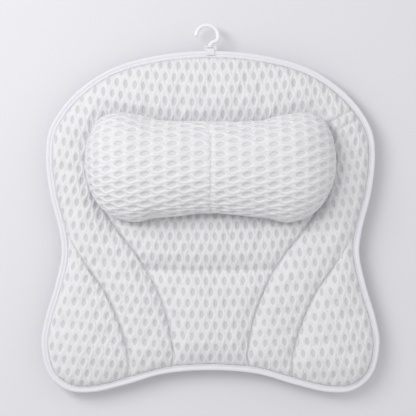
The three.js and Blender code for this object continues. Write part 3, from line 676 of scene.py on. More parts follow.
def add_node(tree: NodeTree, kind: str, inputs: dict | None = None, **settings) -> Node:
    """Adds a shader node.

    Args:
        tree: The node tree.
        kind: The node's type.
        inputs: Socket name or number to a value, or to a Number or an output socket to link from.
        settings: The node's own properties.

    Returns:
        The node.
    """
    node = tree.nodes.new(kind)
    for key, value in settings.items():
        setattr(node, key, value)
    for key, value in (inputs or {}).items():
        value = value.socket if isinstance(value, Number) else value
        if isinstance(value, NodeSocket):
            tree.links.new(value, node.inputs[key])
        else:
            node.inputs[key].default_value = value
    return node


@dataclass(frozen=True)
class Number:
    """A number in a node tree, whose arithmetic adds Math nodes to the tree."""

    tree: NodeTree
    socket: NodeSocket

    def maths(self, operation: str, *others: Number | float) -> Number:
        """What a Math node makes of this number and others."""
        node = add_node(self.tree, "ShaderNodeMath", dict(enumerate((self, *others))), operation=operation)
        return Number(self.tree, node.outputs[0])

    def __add__(self, other: Number | float) -> Number:
        """This number and another added up."""
        return self.maths("ADD", other)

    def __sub__(self, other: Number | float) -> Number:
        """This number less another."""
        return self.maths("SUBTRACT", other)

    def __mul__(self, other: Number | float) -> Number:
        """This number times another."""
        return self.maths("MULTIPLY", other)

    def __truediv__(self, other: Number | float) -> Number:
        """This number divided by another."""
        return self.maths("DIVIDE", other)

    def __abs__(self) -> Number:
        """This number without its sign."""
        return self.maths("ABSOLUTE")

    def step(self, low: float, high: float) -> Number:
        """A smooth step from 0 at low to 1 at high, which may run downwards."""
        low_end, high_end, start, end = (low, high, 0.0, 1.0) if low < high else (high, low, 1.0, 0.0)
        node = add_node(self.tree, "ShaderNodeMapRange", {
            "Value": self, "From Min": low_end, "From Max": high_end, "To Min": start, "To Max": end},
            interpolation_type="SMOOTHSTEP")
        return Number(self.tree, node.outputs[0])


def mix(tree: NodeTree, share: object, first: object, second: object,
        blend: str = "MIX") -> NodeSocket:
    """The output of a blend of two colours, by a share of the second."""
    return add_node(tree, "ShaderNodeMixRGB", {0: share, 1: first, 2: second}, blend_type=blend).outputs[0]


def noise(tree: NodeTree, place: NodeSocket, size: float, detail: float,
          roughness: float = 0.5) -> Number:
    """Noise between 0 and 1 with features of about a size."""
    node = add_node(tree, "ShaderNodeTexNoise", {
        "Vector": place, "Scale": 1 / size, "Detail": detail, "Roughness": roughness})
    return Number(tree, node.outputs[0])


def bump(tree: NodeTree, shader: Node, height: Number, strength: float,
         distance: float) -> None:
    """Gives a shader a relief of a height, which is a distance where it is 1."""
    node = add_node(tree, "ShaderNodeBump", {"Height": height, "Strength": strength, "Distance": distance})
    tree.links.new(node.outputs[0], shader.inputs["Normal"])


@dataclass(frozen=True)
class Finish:
    """What a piece is made of, as a Principled shader."""

    name: str
    colour: str
    roughness: float

    def material(self) -> bpy.types.Material:
        """The finish's material, made once."""
        found = bpy.data.materials.get(self.name)
        if found:
            return found
        made = bpy.data.materials.new(self.name)
        made.use_nodes = True
        made.node_tree.nodes.clear()
        shader = add_node(made.node_tree, "ShaderNodeBsdfPrincipled", {
            "Base Color": srgb(self.colour), "Roughness": self.roughness})
        add_node(made.node_tree, "ShaderNodeOutputMaterial", {"Surface": shader.outputs[0]})
        self.dress(made.node_tree, shader)
        return made

    def dress(self, tree: NodeTree, shader: Node) -> None:
        """Adds what the finish shows beyond its colour, which is nothing for a plain one.

        Args:
            tree: The material's node tree.
            shader: Its Principled shader.
        """


@dataclass(frozen=True)
class AirMeshFinish(Finish):
    """Polyester spacer mesh, warp-knitted: matt white ribs, greyer where the openings show the pile inside
    and where their hollows take painted shade, with painted shade round their rims, between the strands and
    in the seams.

    The levels near the seams are in millimetres of the edge attribute, those of the openings in openings.
    """

    lattice: Lattice = field(default_factory=Lattice)
    # the openings' grey: partly the pile seen through them, partly painted shade of their hollows
    opening_colour: str = "D7D6D9"
    # painted shade in a ring round each opening, where its wall falls away
    rim_shade_colour: str = "D1D0D4"
    # painted shade between the strands
    gap_shade_colour: str = "EBEAED"
    # painted shade in the seams' grooves
    seam_shade_colour: str = "B4B3B6"
    opening_stop: float = 0.5  # how far out the openings have their greyer colour, partly painted shade
    rim_stop: float = 0.82
    calm: Pair = (0.6, 2.4)  # how near a seam the openings end
    seam: float = 0.85  # how strongly the seams show, as painted shade and as bump
    seam_shade_span: Pair = (1.1, 0.1)  # how near a seam its painted shade sets in
    seam_shade_share: float = 0.45
    seam_roll: Pair = (0.0, 2.0)  # how near a seam the fabric rolls down
    strand: float = 2.3 * MM
    pull: float = 3.0 * MM  # how far the knit is pulled about
    pull_size: float = 16 * MM
    hollow: float = 0.5
    hollow_edge: Pair = (0.55, 1.15)
    loop: float = 1.5 * MM  # the real loops are about 0.7 mm, drawn coarser so that they show
    loop_share: float = 0.25
    fuzz: float = 0.35
    relief: float = 0.9 * MM

    def places(self, tree: NodeTree) -> NodeSocket:
        """Places on the fabric from its UV map, a little pulled about."""
        flat = add_node(tree, "ShaderNodeUVMap", uv_map="fabric").outputs[0]
        pull = add_node(tree, "ShaderNodeTexNoise", {
            "Vector": flat, "Scale": 1 / self.pull_size, "Detail": 1.0})
        uneven = add_node(tree, "ShaderNodeVectorMath", {
            0: pull.outputs["Color"], 1: (self.pull, self.pull, 0), 2: flat}, operation="MULTIPLY_ADD")
        return add_node(tree, "ShaderNodeVectorMath", {
            0: uneven.outputs[0], 1: (self.pull / 2, self.pull / 2, 0)}, operation="SUBTRACT").outputs[0]

    def cell(self, u: Number, v: Number) -> tuple[Number, Number]:
        """How far a place is from its opening's middle, in openings, and how much of a strand it is."""
        fabric = self.lattice
        rows = v / fabric.along
        odd = (rows.maths("FLOOR") + 1000.0).maths("MODULO", 2.0)  # the remainder of what isn't below 0
        y = rows.maths("FRACT") - 0.5
        tilt = (y * (2 * math.pi)).maths("SINE") * (fabric.lean / (2 * math.pi))
        x = (u / fabric.across + odd * 0.5).maths("FRACT") - 0.5 - tilt
        way = (y * math.pi).maths("COSINE") * fabric.sway + 0.25
        strand = abs(abs(x) - way).step(self.strand / fabric.across, 0.0)
        y = y * (fabric.along / fabric.half_height)
        narrow = (y * y * -fabric.pinch + 1.0).maths("MAXIMUM", fabric.narrowest)
        x = x * (fabric.across / fabric.half_width) / narrow
        return (x * x + y * y).maths("SQRT"), strand

    def dress(self, tree: NodeTree, shader: Node) -> None:
        """Colours the openings, partly as painted shade, paints shade round their rims, between the strands
        and in the seams, and gives the ribs their loops, from the fabric's own UV map.
        """
        uv = self.places(tree)
        split = add_node(tree, "ShaderNodeSeparateXYZ", {0: uv})
        u, v = (Number(tree, split.outputs[k]) for k in range(2))
        reach, strand = self.cell(u, v)
        edge = Number(tree, add_node(tree, "ShaderNodeAttribute", attribute_name="edge").outputs["Fac"])
        calm = edge.step(*self.calm)
        ramp = add_node(tree, "ShaderNodeValToRGB", {0: reach})
        stops = ramp.color_ramp.elements
        stops[0].position, stops[0].color = self.opening_stop, srgb(self.opening_colour)
        stops[1].position, stops[1].color = 1.0, (1, 1, 1, 1)
        stops.new(self.rim_stop).color = srgb(self.rim_shade_colour)
        # the strands keep the fabric's colour, the gaps between them get painted shade
        knit = mix(tree, strand, srgb(self.gap_shade_colour), srgb(self.colour))
        holed = mix(tree, calm, knit, mix(tree, 1.0, knit, ramp.outputs[0], "DARKEN"))
        # painted shade along the seams, darkest at the seam line
        painted_seam_shade = edge.step(*self.seam_shade_span) * (self.seam_shade_share * self.seam)
        shade = mix(tree, painted_seam_shade, holed, srgb(self.seam_shade_colour))
        tree.links.new(shade, shader.inputs["Base Color"])
        turn = 2 * math.pi / self.loop
        loops = (u * turn).maths("SINE") * (v * (turn * 0.7)).maths("SINE")
        chain = strand * (loops * self.loop_share + 0.7)
        height = reach.step(*self.hollow_edge) * calm * self.hollow + (
            chain + noise(tree, uv, 3 * MM, 3.0) * self.fuzz)
        bump(tree, shader, height + edge.step(*self.seam_roll) * self.seam, 1.0, self.relief)
        shader.inputs["Sheen Weight"].default_value = 0.15
        shader.inputs["Sheen Roughness"].default_value = 0.5
        shader.inputs["Specular IOR Level"].default_value = 0.2


@dataclass(frozen=True)
class TextileFinish(Finish):
    """A woven, twisted or matted white polyester with a soft sheen."""

    weave: Weave = Weave.TWILL_TAPE
    pitch: float = 0.9 * MM
    depth: float = 0.15 * MM
    strength: float = 0.6
    cloud_colour: str = "D9DAE0"
    cloud_share: float = 0.12
    cloud_size: float = 18 * MM

    def dress(self, tree: NodeTree, shader: Node) -> None:
        """Adds the weave as bump and a faint unevenness of colour, on Object coordinates."""
        place = add_node(tree, "ShaderNodeTexCoord").outputs["Object"]
        split = add_node(tree, "ShaderNodeSeparateXYZ", {0: place})
        x, y, z = (Number(tree, split.outputs[k]) for k in range(3))
        turn = 2 * math.pi / self.pitch
        if self.weave is Weave.FLEECE:
            height = noise(tree, place, self.pitch, 6.0, 0.7)
        elif self.weave is Weave.THREAD:
            height = ((x + y + z) * turn).maths("SINE")
        elif self.weave is Weave.FINE_MESH:
            cells = add_node(tree, "ShaderNodeTexVoronoi", {
                "Vector": place, "Scale": 1 / self.pitch, "Randomness": 0.15}).outputs["Distance"]
            height = Number(tree, cells).maths("MINIMUM", 0.45)
        else:
            skew = 1.0 if self.weave is Weave.TWILL_TAPE else 0.0
            height = ((x + y * skew) * turn).maths("SINE") * ((y - x * skew) * turn).maths("SINE")
        cloud = noise(tree, place, self.cloud_size, 2.0) * self.cloud_share
        shade = mix(tree, cloud, srgb(self.colour), srgb(self.cloud_colour))
        tree.links.new(shade, shader.inputs["Base Color"])
        bump(tree, shader, height, self.strength, self.depth)
        shader.inputs["Sheen Weight"].default_value = 0.2
        shader.inputs["Specular IOR Level"].default_value = 0.3


@dataclass(frozen=True)
class MouldedFinish(Finish):
    """Moulded plastic with the faint unevenness of a mould's face under its gloss."""

    transmission: float = 0.0
    ior: float = 1.49
    coat: float = 0.0
    coat_roughness: float = 0.12
    uneven: float = 0.1  # how much the roughness wavers

    def dress(self, tree: NodeTree, shader: Node) -> None:
        """Sets the shader's gloss, and clear vinyl's see-through."""
        shader.inputs["IOR"].default_value = self.ior
        shader.inputs["Transmission Weight"].default_value = self.transmission
        shader.inputs["Coat Weight"].default_value = self.coat
        shader.inputs["Coat Roughness"].default_value = self.coat_roughness
        cloud = noise(tree, add_node(tree, "ShaderNodeTexCoord").outputs["Object"], 3 * MM, 2.0)
        bump(tree, shader, cloud, 0.15, 0.1 * MM)
        rough = cloud * self.uneven + (self.roughness - self.uneven / 2)
        tree.links.new(rough.socket, shader.inputs["Roughness"])


BINDING = TextileFinish("twill_binding_tape", "F2F2F7", 0.6, Weave.TWILL_TAPE, 0.8 * MM, 0.08 * MM)
BACKING = TextileFinish("knitted_mesh_backing", "E9E9ED", 0.85, Weave.FINE_MESH, 3.2 * MM, 0.5 * MM)
THREAD = TextileFinish("twisted_polyester_thread", "F5F5F8", 0.5, Weave.THREAD, 0.6 * MM, 0.08 * MM)
FLEECE = TextileFinish("polyester_wadding", "F4F4F2", 0.95, Weave.FLEECE, 3.0 * MM, 0.8 * MM)
STRAPPING = TextileFinish("woven_webbing", "EFEFF2", 0.7, Weave.WEBBING, 1.6 * MM, 0.25 * MM)
HOOK_PLASTIC = MouldedFinish("moulded_acetal", "F4F4F6", 0.32, coat=0.2)
CLEAR_VINYL = MouldedFinish("moulded_clear_vinyl", "F6F9FA", 0.12, transmission=0.9, ior=1.53)


# The pad


@dataclass
class PadPlan:
    """The pad seen from above: its outline, its seams and the height of its face.

    The shares are of half the width to the right and of the length down from the top edge.
    """

    cushion: Line
    outline_shares: tuple = (
        (0, 0), (0.36, 0.018), (0.62, 0.06), (0.83, 0.139), (0.95, 0.228), (0.973, 0.3), (0.952, 0.41),
        (0.893, 0.53), (0.88, 0.59), (0.915, 0.68), (0.975, 0.78), (1, 0.86), (0.952, 0.95), (0.84, 0.994),
        (0.7, 0.999), (0.5, 0.977), (0.28, 0.946), (0, 0.935),
    )
    inner_shares: tuple = (
        (0.7, 0.356), (0.672, 0.4245), (0.548, 0.5236), (0.424, 0.604), (0.324, 0.69), (0.252, 0.788),
        (0.219, 0.882), (0.217, 0.935),
    )
    outer_shares: tuple = (
        (0.85, 0.566), (0.729, 0.627), (0.614, 0.71), (0.533, 0.8), (0.482, 0.895), (0.473, 0.955),
    )
    tuck_share: float = 0.641
    seam_end_inset: float = 15 * MM
    flange_width: float = 8.6 * MM
    cloth_inset: float = 6.3 * MM  # past the tape's groove, under its lip
    seam_depth: float = 9 * MM
    seam_reach: float = 21 * MM
    crease_share: float = 0.28
    crease_reach: float = 5 * MM
    crease_fade: Pair = (8 * MM, 45 * MM)  # how far inside the outline it sets in
    inner_fade: Pair = (5 * MM, 35 * MM)  # levels where the headrest hides the inner seams
    pucker_depth: float = 0.35 * MM
    pucker_length: float = 10.5 * MM
    pucker_reach: Pair = (5 * MM, 4 * MM)  # how far from the seams and over what width
    nest: Pair = (4.5 * MM, 22 * MM)  # how deep the headrest sinks in, from how far round it
    tuck_depth: float = 12 * MM
    tuck_reach: Pair = (25 * MM, 20 * MM)  # above and below it
    edge_reach: float = 34 * MM
    slump: float = 1.5 * MM  # how much lower the face is before its stuffing swells it
    grip: float = 2 * MM  # how far above the binding's middle it holds the face
    back_thickness: float = 2.5 * MM
    unevenness: tuple = ((0.9 * MM, 62 * MM, 3), (0.35 * MM, 23 * MM, 5))  # height, length and seed
    wrinkles: tuple = (  # where each starts and ends, and its depth, in millimetres
        ((177, 121), (146, 104), 3.4), ((181, 108), (150, 92), 1.8),
    )
    wrinkle_width: float = 2.2 * MM
    wrinkle_puffs: Pair = (7 * MM, 4.5 * MM)  # how far beside it and how wide
    sewn: tuple[float, float, float] = (3 * MM, 4 * MM, 2 * MM)  # how near seams, headrest and flange
    plan_step: float = 2.0 * MM

    def __post_init__(self) -> None:
        """Takes the pad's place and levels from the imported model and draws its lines."""
        low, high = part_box("edge_binding")
        self.width, self.length, self.top = high.x - low.x, high.y - low.y, high.y
        self.rim = (low.z + high.z) / 2
        self.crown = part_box("front_upper_panel")[1].z
        self.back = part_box("back_cover")[0].z
        self.back_top = self.back + self.back_thickness
        right = [self.place(s) for s in self.outline_shares]
        left = [(-x, y) for x, y in right[-2:0:-1]]
        line = smooth_line(right + left, self.plan_step, closed=True)
        line[:, 0] *= self.width / (line[:, 0].max() - line[:, 0].min())
        span = line[:, 1].max() - line[:, 1].min()
        line[:, 1] = self.top + (line[:, 1] - line[:, 1].max()) * self.length / span
        self.outline = Line(line, closed=True)
        self.inward = -self.outline.normals()
        self.inner = self.seam(self.inner_shares, False)
        self.outer = self.seam(self.outer_shares, True)
        self.tuck_y = self.top - self.tuck_share * self.length
        self.tuck_half = float(np.interp(-self.tuck_y, -self.inner.points[:, 1], self.inner.points[:, 0]))
        self.inner_run = self.extended(self.inner, False)
        self.outer_run = self.extended(self.outer, True)
        self.swelling = None
        self.stuff()

    def place(self, share: Sequence[float]) -> Pair:
        """A plan point from its shares of half the width and of the length."""
        return (share[0] * self.width / 2, self.top - share[1] * self.length)

    def seam(self, shares: Sequence[Sequence[float]], starts_at_edge: bool) -> Line:
        """A seam on the right-hand side, whose ends at the edge keep their place from the outline."""
        points = np.array([self.place(s) for s in shares])
        ends = [len(points) - 1, 0] if starts_at_edge else [len(points) - 1]
        _, place, _ = self.outline.nearest(points[ends])
        for k, spot in zip(ends, place):
            index = int(round(spot)) % len(self.outline.points)
            points[k] = self.outline.points[index] + self.inward[index] * self.seam_end_inset
        return Line(smooth_line(points, self.plan_step / 2, closed=False))

    def extended(self, line: Line, start: bool) -> Line:
        """A seam that runs straight on past the outline at its foot, and at its start if asked."""
        points = [line.points]
        run = np.arange(1, 60)[:, None] * self.plan_step / 2
        if start:
            away = line.points[0] - line.points[6]
            points = [(line.points[0] + run * away / np.linalg.norm(away))[::-1], *points]
        away = line.points[-1] - line.points[-7]
        return Line(np.vstack([*points, line.points[-1] + run * away / np.linalg.norm(away)]))

    def inset(self, at: Array) -> Array:
        """How far inside the outline plan points are, below 0 outside it."""
        distance, place, near = self.outline.nearest(at)
        index = np.round(place).astype(int) % len(self.outline.points)
        side = ((at - near) * self.inward[index]).sum(1)
        return np.where(side >= 0, distance, -distance)

    def seam_x(self, line: Line, y: Array) -> Array:
        """Where a right-hand seam passes a height of the plan."""
        return np.interp(-y, -line.points[:, 1], line.points[:, 0])

    def beyond_centre(self, at: Array) -> Array:
        """How far outside the centre panel's seams plan points are, below 0 on the panel."""
        right = to_right(at)
        seam = self.inner_run.nearest(right)[0]
        start = self.inner.points[0]
        join = np.hypot(np.maximum(right[:, 0] - start[0], 0), right[:, 1] - start[1])
        on_panel = (at[:, 1] < start[1]) & (right[:, 0] < self.seam_x(self.inner_run, at[:, 1]))
        return np.where(on_panel, -1, 1) * np.minimum(seam, join)

    def beyond_lobes(self, at: Array) -> Array:
        """How far outside the lobes' seams plan points are, below 0 on a lobe."""
        right = to_right(at)
        on_lobe = right[:, 0] > self.seam_x(self.outer_run, at[:, 1])
        on_lobe &= at[:, 1] < self.outer_run.points[0, 1]
        return np.where(on_lobe, -1, 1) * self.outer_run.nearest(right)[0]

    def beyond_upper(self, at: Array) -> Array:
        """How far outside the upper panel's seams plan points are, below 0 on the panel."""
        return -np.minimum(self.beyond_centre(at), self.beyond_lobes(at))

    def from_cushion(self, at: Array) -> Array:
        """How far plan points are from the headrest's outline, below 0 under the headrest."""
        gap, place, near = self.cushion.nearest(at)
        index = np.round(place).astype(int) % len(self.cushion.points)
        return gap * np.sign(((at - near) * self.cushion.normals()[index]).sum(1))

    def box(self) -> tuple[Array, Array]:
        """The outline's lowest and highest x and y."""
        return self.outline.points.min(0), self.outline.points.max(0)

    def face(self, at: Array) -> Array:
        """Height of the pad's face at plan points, without the fabric's own relief."""
        if self.swelling is None:
            return self.resting_face(at)
        return self.resting_face(at) + self.swelling.at(at)[:, 2]

    def resting_face(self, at: Array) -> Array:
        """Height of the pad's face before its stuffing swells it."""
        right = to_right(at)
        inset = self.inset(at)
        edge = rise(inset - self.flange_width, self.edge_reach)
        inner, along_inner, _ = self.inner_run.nearest(right)
        inner = inner + self.seam_reach * smoothstep(*self.inner_fade, at[:, 1])
        outer, along_outer, _ = self.outer_run.nearest(right)
        nearest = np.minimum(inner, outer)
        soft = np.maximum(1 - nearest / self.seam_reach, 0) ** 2.2
        crease = (1 - rise(nearest, self.crease_reach)) * smoothstep(*self.crease_fade, inset)
        dip = (1 - self.crease_share) * soft + self.crease_share * crease
        past = np.maximum(right[:, 0] - self.tuck_half, 0)
        off = at[:, 1] - self.tuck_y
        away = np.hypot(off, past)
        above = np.maximum(1 - away / self.tuck_reach[0], 0) ** 2
        below = np.maximum(1 - away / self.tuck_reach[1], 0) ** 1.6
        tuck = np.where(off > 0, above, below)
        nest = -self.nest[0] * np.clip(1 - self.from_cushion(at) / self.nest[1], 0, 1) ** 2
        top = self.crown - self.slump - self.rim_top()
        height = top * edge * (1 - self.seam_depth / top * dip) * (1 - self.tuck_depth / top * tuck)
        puckers = self.pucker_depth * np.exp(-((nearest - self.pucker_reach[0]) / self.pucker_reach[1]) ** 2)
        pulls = np.where(inner < outer, along_inner, along_outer) * self.plan_step / 2
        phase = np.sign(at[:, 0]) * 1.3  # so that left and right differ
        height += puckers * np.sin(pulls * 2 * math.pi / self.pucker_length + phase) * edge
        height += edge * sum(high * ripple(at, length, seed) for high, length, seed in self.unevenness)
        return self.rim_top() + height + (self.wrinkle(at) + nest) * edge

    def stuff(self) -> None:
        """Swells the face between its seams and round the headrest that is sewn on it."""
        def held(at: Array) -> Array:
            """Which places are sewn down."""
            right = to_right(at)
            seam = np.minimum(self.inner_run.nearest(right)[0], self.outer_run.nearest(right)[0])
            tuck = np.hypot(at[:, 1] - self.tuck_y, np.maximum(right[:, 0] - self.tuck_half, 0))
            return (np.minimum(seam, tuck) < self.sewn[0]) | (self.from_cushion(at) < self.sewn[1]) | (
                self.inset(at) < self.flange_width + self.sewn[2])

        self.swelling = Stuffing().swell(
            "pad_face", *self.box(), lambda at: np.column_stack([at, self.resting_face(at)]),
            lambda at: self.inset(at) > self.flange_width, held)

    def rim_top(self) -> float:
        """Height of the face where the binding grips it."""
        return self.rim + self.grip

    def wrinkle(self, at: Array) -> Array:
        """The pulls from the edge to the headrest's upper right corner, with the puffs between them."""
        total = np.zeros(len(at))
        for first, last, depth in self.wrinkles:
            start, end = np.array(first) * MM, np.array(last) * MM
            along = end - start
            t = ((at - start) @ along) / (along @ along)
            off = (at - start) @ np.array([-along[1], along[0]]) / np.linalg.norm(along)
            fade = smoothstep(-0.35, 0.1, t) * smoothstep(1.25, 0.85, t)
            puffs = 0.5 * np.exp(-((np.abs(off) - self.wrinkle_puffs[0]) / self.wrinkle_puffs[1]) ** 2)
            total += depth * MM * fade * (puffs - np.exp(-(off / self.wrinkle_width) ** 2))
        return total


class Side(Enum):
    """Which of a left and right pair."""

    LEFT = -1
    RIGHT = 1


@dataclass
class PadFace:
    """The face's four panels of air mesh, puffed over their wadding and turned down into their seams."""

    plan: PadPlan
    thickness: float = 1.8 * MM
    allowance: float = 2.6 * MM  # what is turned down past a seam
    dive: float = 1.5  # how steeply
    edge_dive: float = 0.45  # at the pad's thin edge, where the allowance has to stay above the back
    dive_ramp: Pair = (6 * MM, 32 * MM)
    groove_inset: float = 7.6 * MM  # of the binding's groove, which counts as a seam
    beside: Pair = (100 * MM, 130 * MM)  # where the headrest's ends come to pull the mesh flat
    beside_reach: Pair = (9 * MM, 18 * MM)  # how far off its left and its right end they do
    upper: Lattice = field(default_factory=lambda: ArchLattice(
        opening=(-0.65 * MM, 159.2 * MM), half_height=6.3 * MM))
    centre: Lattice = field(default_factory=lambda: Lattice(
        across=11.06 * MM, along=13.6 * MM, opening=(-4.94 * MM, -62.7 * MM), bow=0.554, fan=0.465))
    right: Lattice = field(default_factory=lambda: Lattice(
        across=11.7 * MM, opening=(155.2 * MM, -116.7 * MM), angle=math.radians(5.4)))
    left: Lattice = field(default_factory=lambda: Lattice(
        across=11.84 * MM, along=14.5 * MM, opening=(-155.5 * MM, -116.1 * MM), angle=math.radians(-5),
        lean=0.18))

    def panel(self, name: str, lattice: Lattice, beyond: Callable[[Array], Array],
              box: tuple[Sequence[float], Sequence[float]], nodes: Sequence[str]) -> Object:
        """Cuts, puffs and dimples one panel.

        Args:
            name: The piece's name.
            lattice: The fabric, laid as on this panel.
            beyond: Gives how far outside the panel's seams plan points are.
            box: Two plan corners that the panel lies between.
            nodes: The CAD nodes that the panel stands for.

        Returns:
            The panel.
        """
        plan = self.plan
        xs, ys = (np.linspace(a, b, 40) for a, b in zip(*box))
        reach = lattice.to_fabric(np.array([(x, y) for x in xs for y in ys]))

        def keep(fabric: Array) -> Array:
            """Which places on the fabric are on the panel."""
            at = lattice.to_plan(fabric)
            kept = (beyond(at) < self.allowance) & (at >= box[0]).all(1) & (at <= box[1]).all(1)
            kept[kept] = plan.inset(at[kept]) > plan.cloth_inset
            return kept

        bm, fabric = cut_cloth(lattice, (reach.min(0), reach.max(0)), keep)
        at = lattice.to_plan(fabric)
        outside = beyond(at)
        inset = plan.inset(at)
        steep = np.maximum(self.dive * smoothstep(*self.dive_ramp, inset), self.edge_dive)
        place_vertices(bm, np.column_stack([at, plan.face(at) - steep * np.maximum(outside, 0)]))
        bm.normal_update()
        from_groove = inset - self.groove_inset
        edge = np.minimum(-outside, from_groove)
        beside = smoothstep(*self.beside, np.abs(at[:, 0]))
        gap = np.maximum(plan.from_cushion(at), 0)
        fade = np.where(at[:, 0] > 0, self.beside_reach[1], self.beside_reach[0])
        calm = smoothstep(0.6 * MM, 3 * MM, edge) * (1 - 0.7 * beside * np.exp(-(gap / fade) ** 2))
        for vertex, height in zip(bm.verts, lattice.relief(fabric) * calm):
            vertex.co += vertex.normal * height
        near_start = smoothstep(38 * MM, 14 * MM, inset) * (at[:, 1] > plan.outer.points[0, 1] - 40 * MM)
        edge = np.where(-outside < from_groove, edge + 1.1 * MM * near_start, edge)  # less painted seam shade at a seam's start
        edge = np.where(beside > 0.5, np.minimum(edge, 1.2 * MM + 1.6 * MM * gap / fade), edge)
        finish = AirMeshFinish("knitted_air_mesh_" + name, "F6F5F7", 0.85, lattice=lattice)
        piece = new_piece(name, bm, finish, "air_mesh", *nodes, fabric=fabric, edge=edge)
        thicken(piece, self.thickness)
        return piece

    def build(self) -> None:
        """Makes the four panels."""
        plan = self.plan
        low, high = plan.box()
        self.panel("upper_panel_cloth", self.upper, plan.beyond_upper, (low, high), ["front_upper_panel"])
        half, join = plan.inner.points[0] + 5 * MM
        self.panel("centre_panel_cloth", self.centre, plan.beyond_centre, ((-half, low[1]), (half, join)),
                   ["front_centre_panel"])
        top, near = plan.outer.points[0, 1] + 30 * MM, plan.outer.points[-1, 0] - 5 * MM
        self.panel("left_lobe_cloth", self.left, plan.beyond_lobes, ((low[0], low[1]), (-near, top)),
                   ["left_lobe_panel"])
        self.panel("right_lobe_cloth", self.right, plan.beyond_lobes, ((near, low[1]), (high[0], top)),
                   ["right_lobe_panel"])


@dataclass
class Binding:
    """The folded tape round the outline: a full bead at the edge, a groove, and a sewn-down lip."""

    plan: PadPlan
    section: tuple = (  # inset from the outline and height above its middle, in millimetres
        (0, 0), (0.14, 1.2), (0.6, 2.2), (1.3, 2.9), (2.2, 3.2), (3.2, 3.1), (4.1, 2.7), (4.75, 2.15),
        (5.1, 1.8), (5.4, 1.8), (5.7, 2.2), (6.1, 2.55), (6.8, 2.65), (7.5, 2.5), (7.9, 2.2), (8.05, 1.75),
    )
    width: float = 8 * MM
    section_step: float = 0.4 * MM
    thickness: float = 0.6 * MM
    stitch_inset: float = 6.8 * MM
    stitch_height: float = 2.7 * MM
    waver: float = 0.18 * MM  # how unevenly its lip is sewn down
    swell: float = 0.05  # how unevenly high it is, as a share

    def build(self) -> None:
        """Makes the tape and its stitching."""
        plan = self.plan
        half = smooth_line(np.array(self.section) * MM, self.section_step, closed=False)
        whole = np.vstack([half[:0:-1] * (1, -1), half])
        line, inward = plan.outline.points, plan.inward
        waver = self.waver * ripple(line, 30 * MM, 11)
        share = whole[:, 0] / self.width
        inset = whole[None, :, 0] + waver[:, None] * share[None, :]
        rings = np.empty((len(line), len(whole), 3))
        rings[:, :, :2] = line[:, None] + inward[:, None] * inset[:, :, None]
        rings[:, :, 2] = plan.rim + whole[None, :, 1] * (1 + self.swell * ripple(line, 17 * MM, 12)[:, None])
        bm = loft(rings, closed_run=True, closed_ring=False)
        bmesh.ops.recalc_face_normals(bm, faces=bm.faces)
        tape = new_piece("binding_tape", bm, BINDING, "binding_tape", "edge_binding")
        thicken(tape, self.thickness)

        stitches = bmesh.new()
        path = line + inward * (self.stitch_inset + waver * self.stitch_inset / self.width)[:, None]
        for side in (1, -1):
            level = np.full((len(path), 1), plan.rim + side * self.stitch_height)
            Stitch().run(stitches, np.hstack([path, level]), (0, 0, side), closed=True)
        new_piece("binding_stitches", stitches, THREAD, "sewing_thread", "binding_thread")


@dataclass
class SeamThreads:
    """The stitches that show in the grooves of the face's seams."""

    plan: PadPlan
    lift: float = 0.25 * MM
    stitch: Stitch = SEAM_STITCH

    def build(self) -> None:
        """Makes the stitches of each seam."""
        plan = self.plan
        half = np.linspace(-plan.tuck_half, plan.tuck_half, 60)
        lines = {"centre_tuck": np.column_stack([half, np.full(60, plan.tuck_y)])}
        for which, line in (("inner", plan.inner), ("outer", plan.outer)):
            lines[f"right_{which}_seam"] = line.points
            lines[f"left_{which}_seam"] = line.points * (-1, 1)
        for name, points in lines.items():
            bm = bmesh.new()
            level = plan.face(points) + self.lift
            self.stitch.run(bm, np.column_stack([points, level]))
            new_piece(f"{name}_stitches", bm, THREAD, "sewing_thread", f"{name}_thread")


@dataclass
class Backing:
    """The flat mesh cover of the pad's back."""

    plan: PadPlan
    cell: float = 3.2 * MM
    thickness: float = 2.2 * MM
    ramp: Pair = (24 * MM, 7 * MM)  # how far inside the outline it starts to rise and ends
    drop: float = 2.1 * MM  # how far below the binding's middle it ends
    sag: float = 0.25 * MM
    inset: float = 2.6 * MM

    def build(self) -> None:
        """Cuts the cover and draws its edge up into the binding."""
        plan = self.plan
        grid = Lattice(across=self.cell, along=self.cell, cuts_across=1, cuts_along=1)
        edge = Line(plan.outline.points + plan.inward * self.inset, closed=True)
        bm, at = cut_cloth(grid, plan.box(), lambda f: plan.inset(f) > self.inset, edge)
        inset = plan.inset(at)
        under = plan.rim - self.drop
        level = plan.back + (under - plan.back) * smoothstep(*self.ramp, inset)
        level += self.sag * (1 + ripple(at, 40 * MM, 21)) * smoothstep(8 * MM, 24 * MM, inset)
        place_vertices(bm, np.column_stack([at, level]))
        bmesh.ops.reverse_faces(bm, faces=bm.faces)
        cover = new_piece("back_cover_cloth", bm, BACKING, "back_mesh", "back_cover")
        thicken(cover, self.thickness)


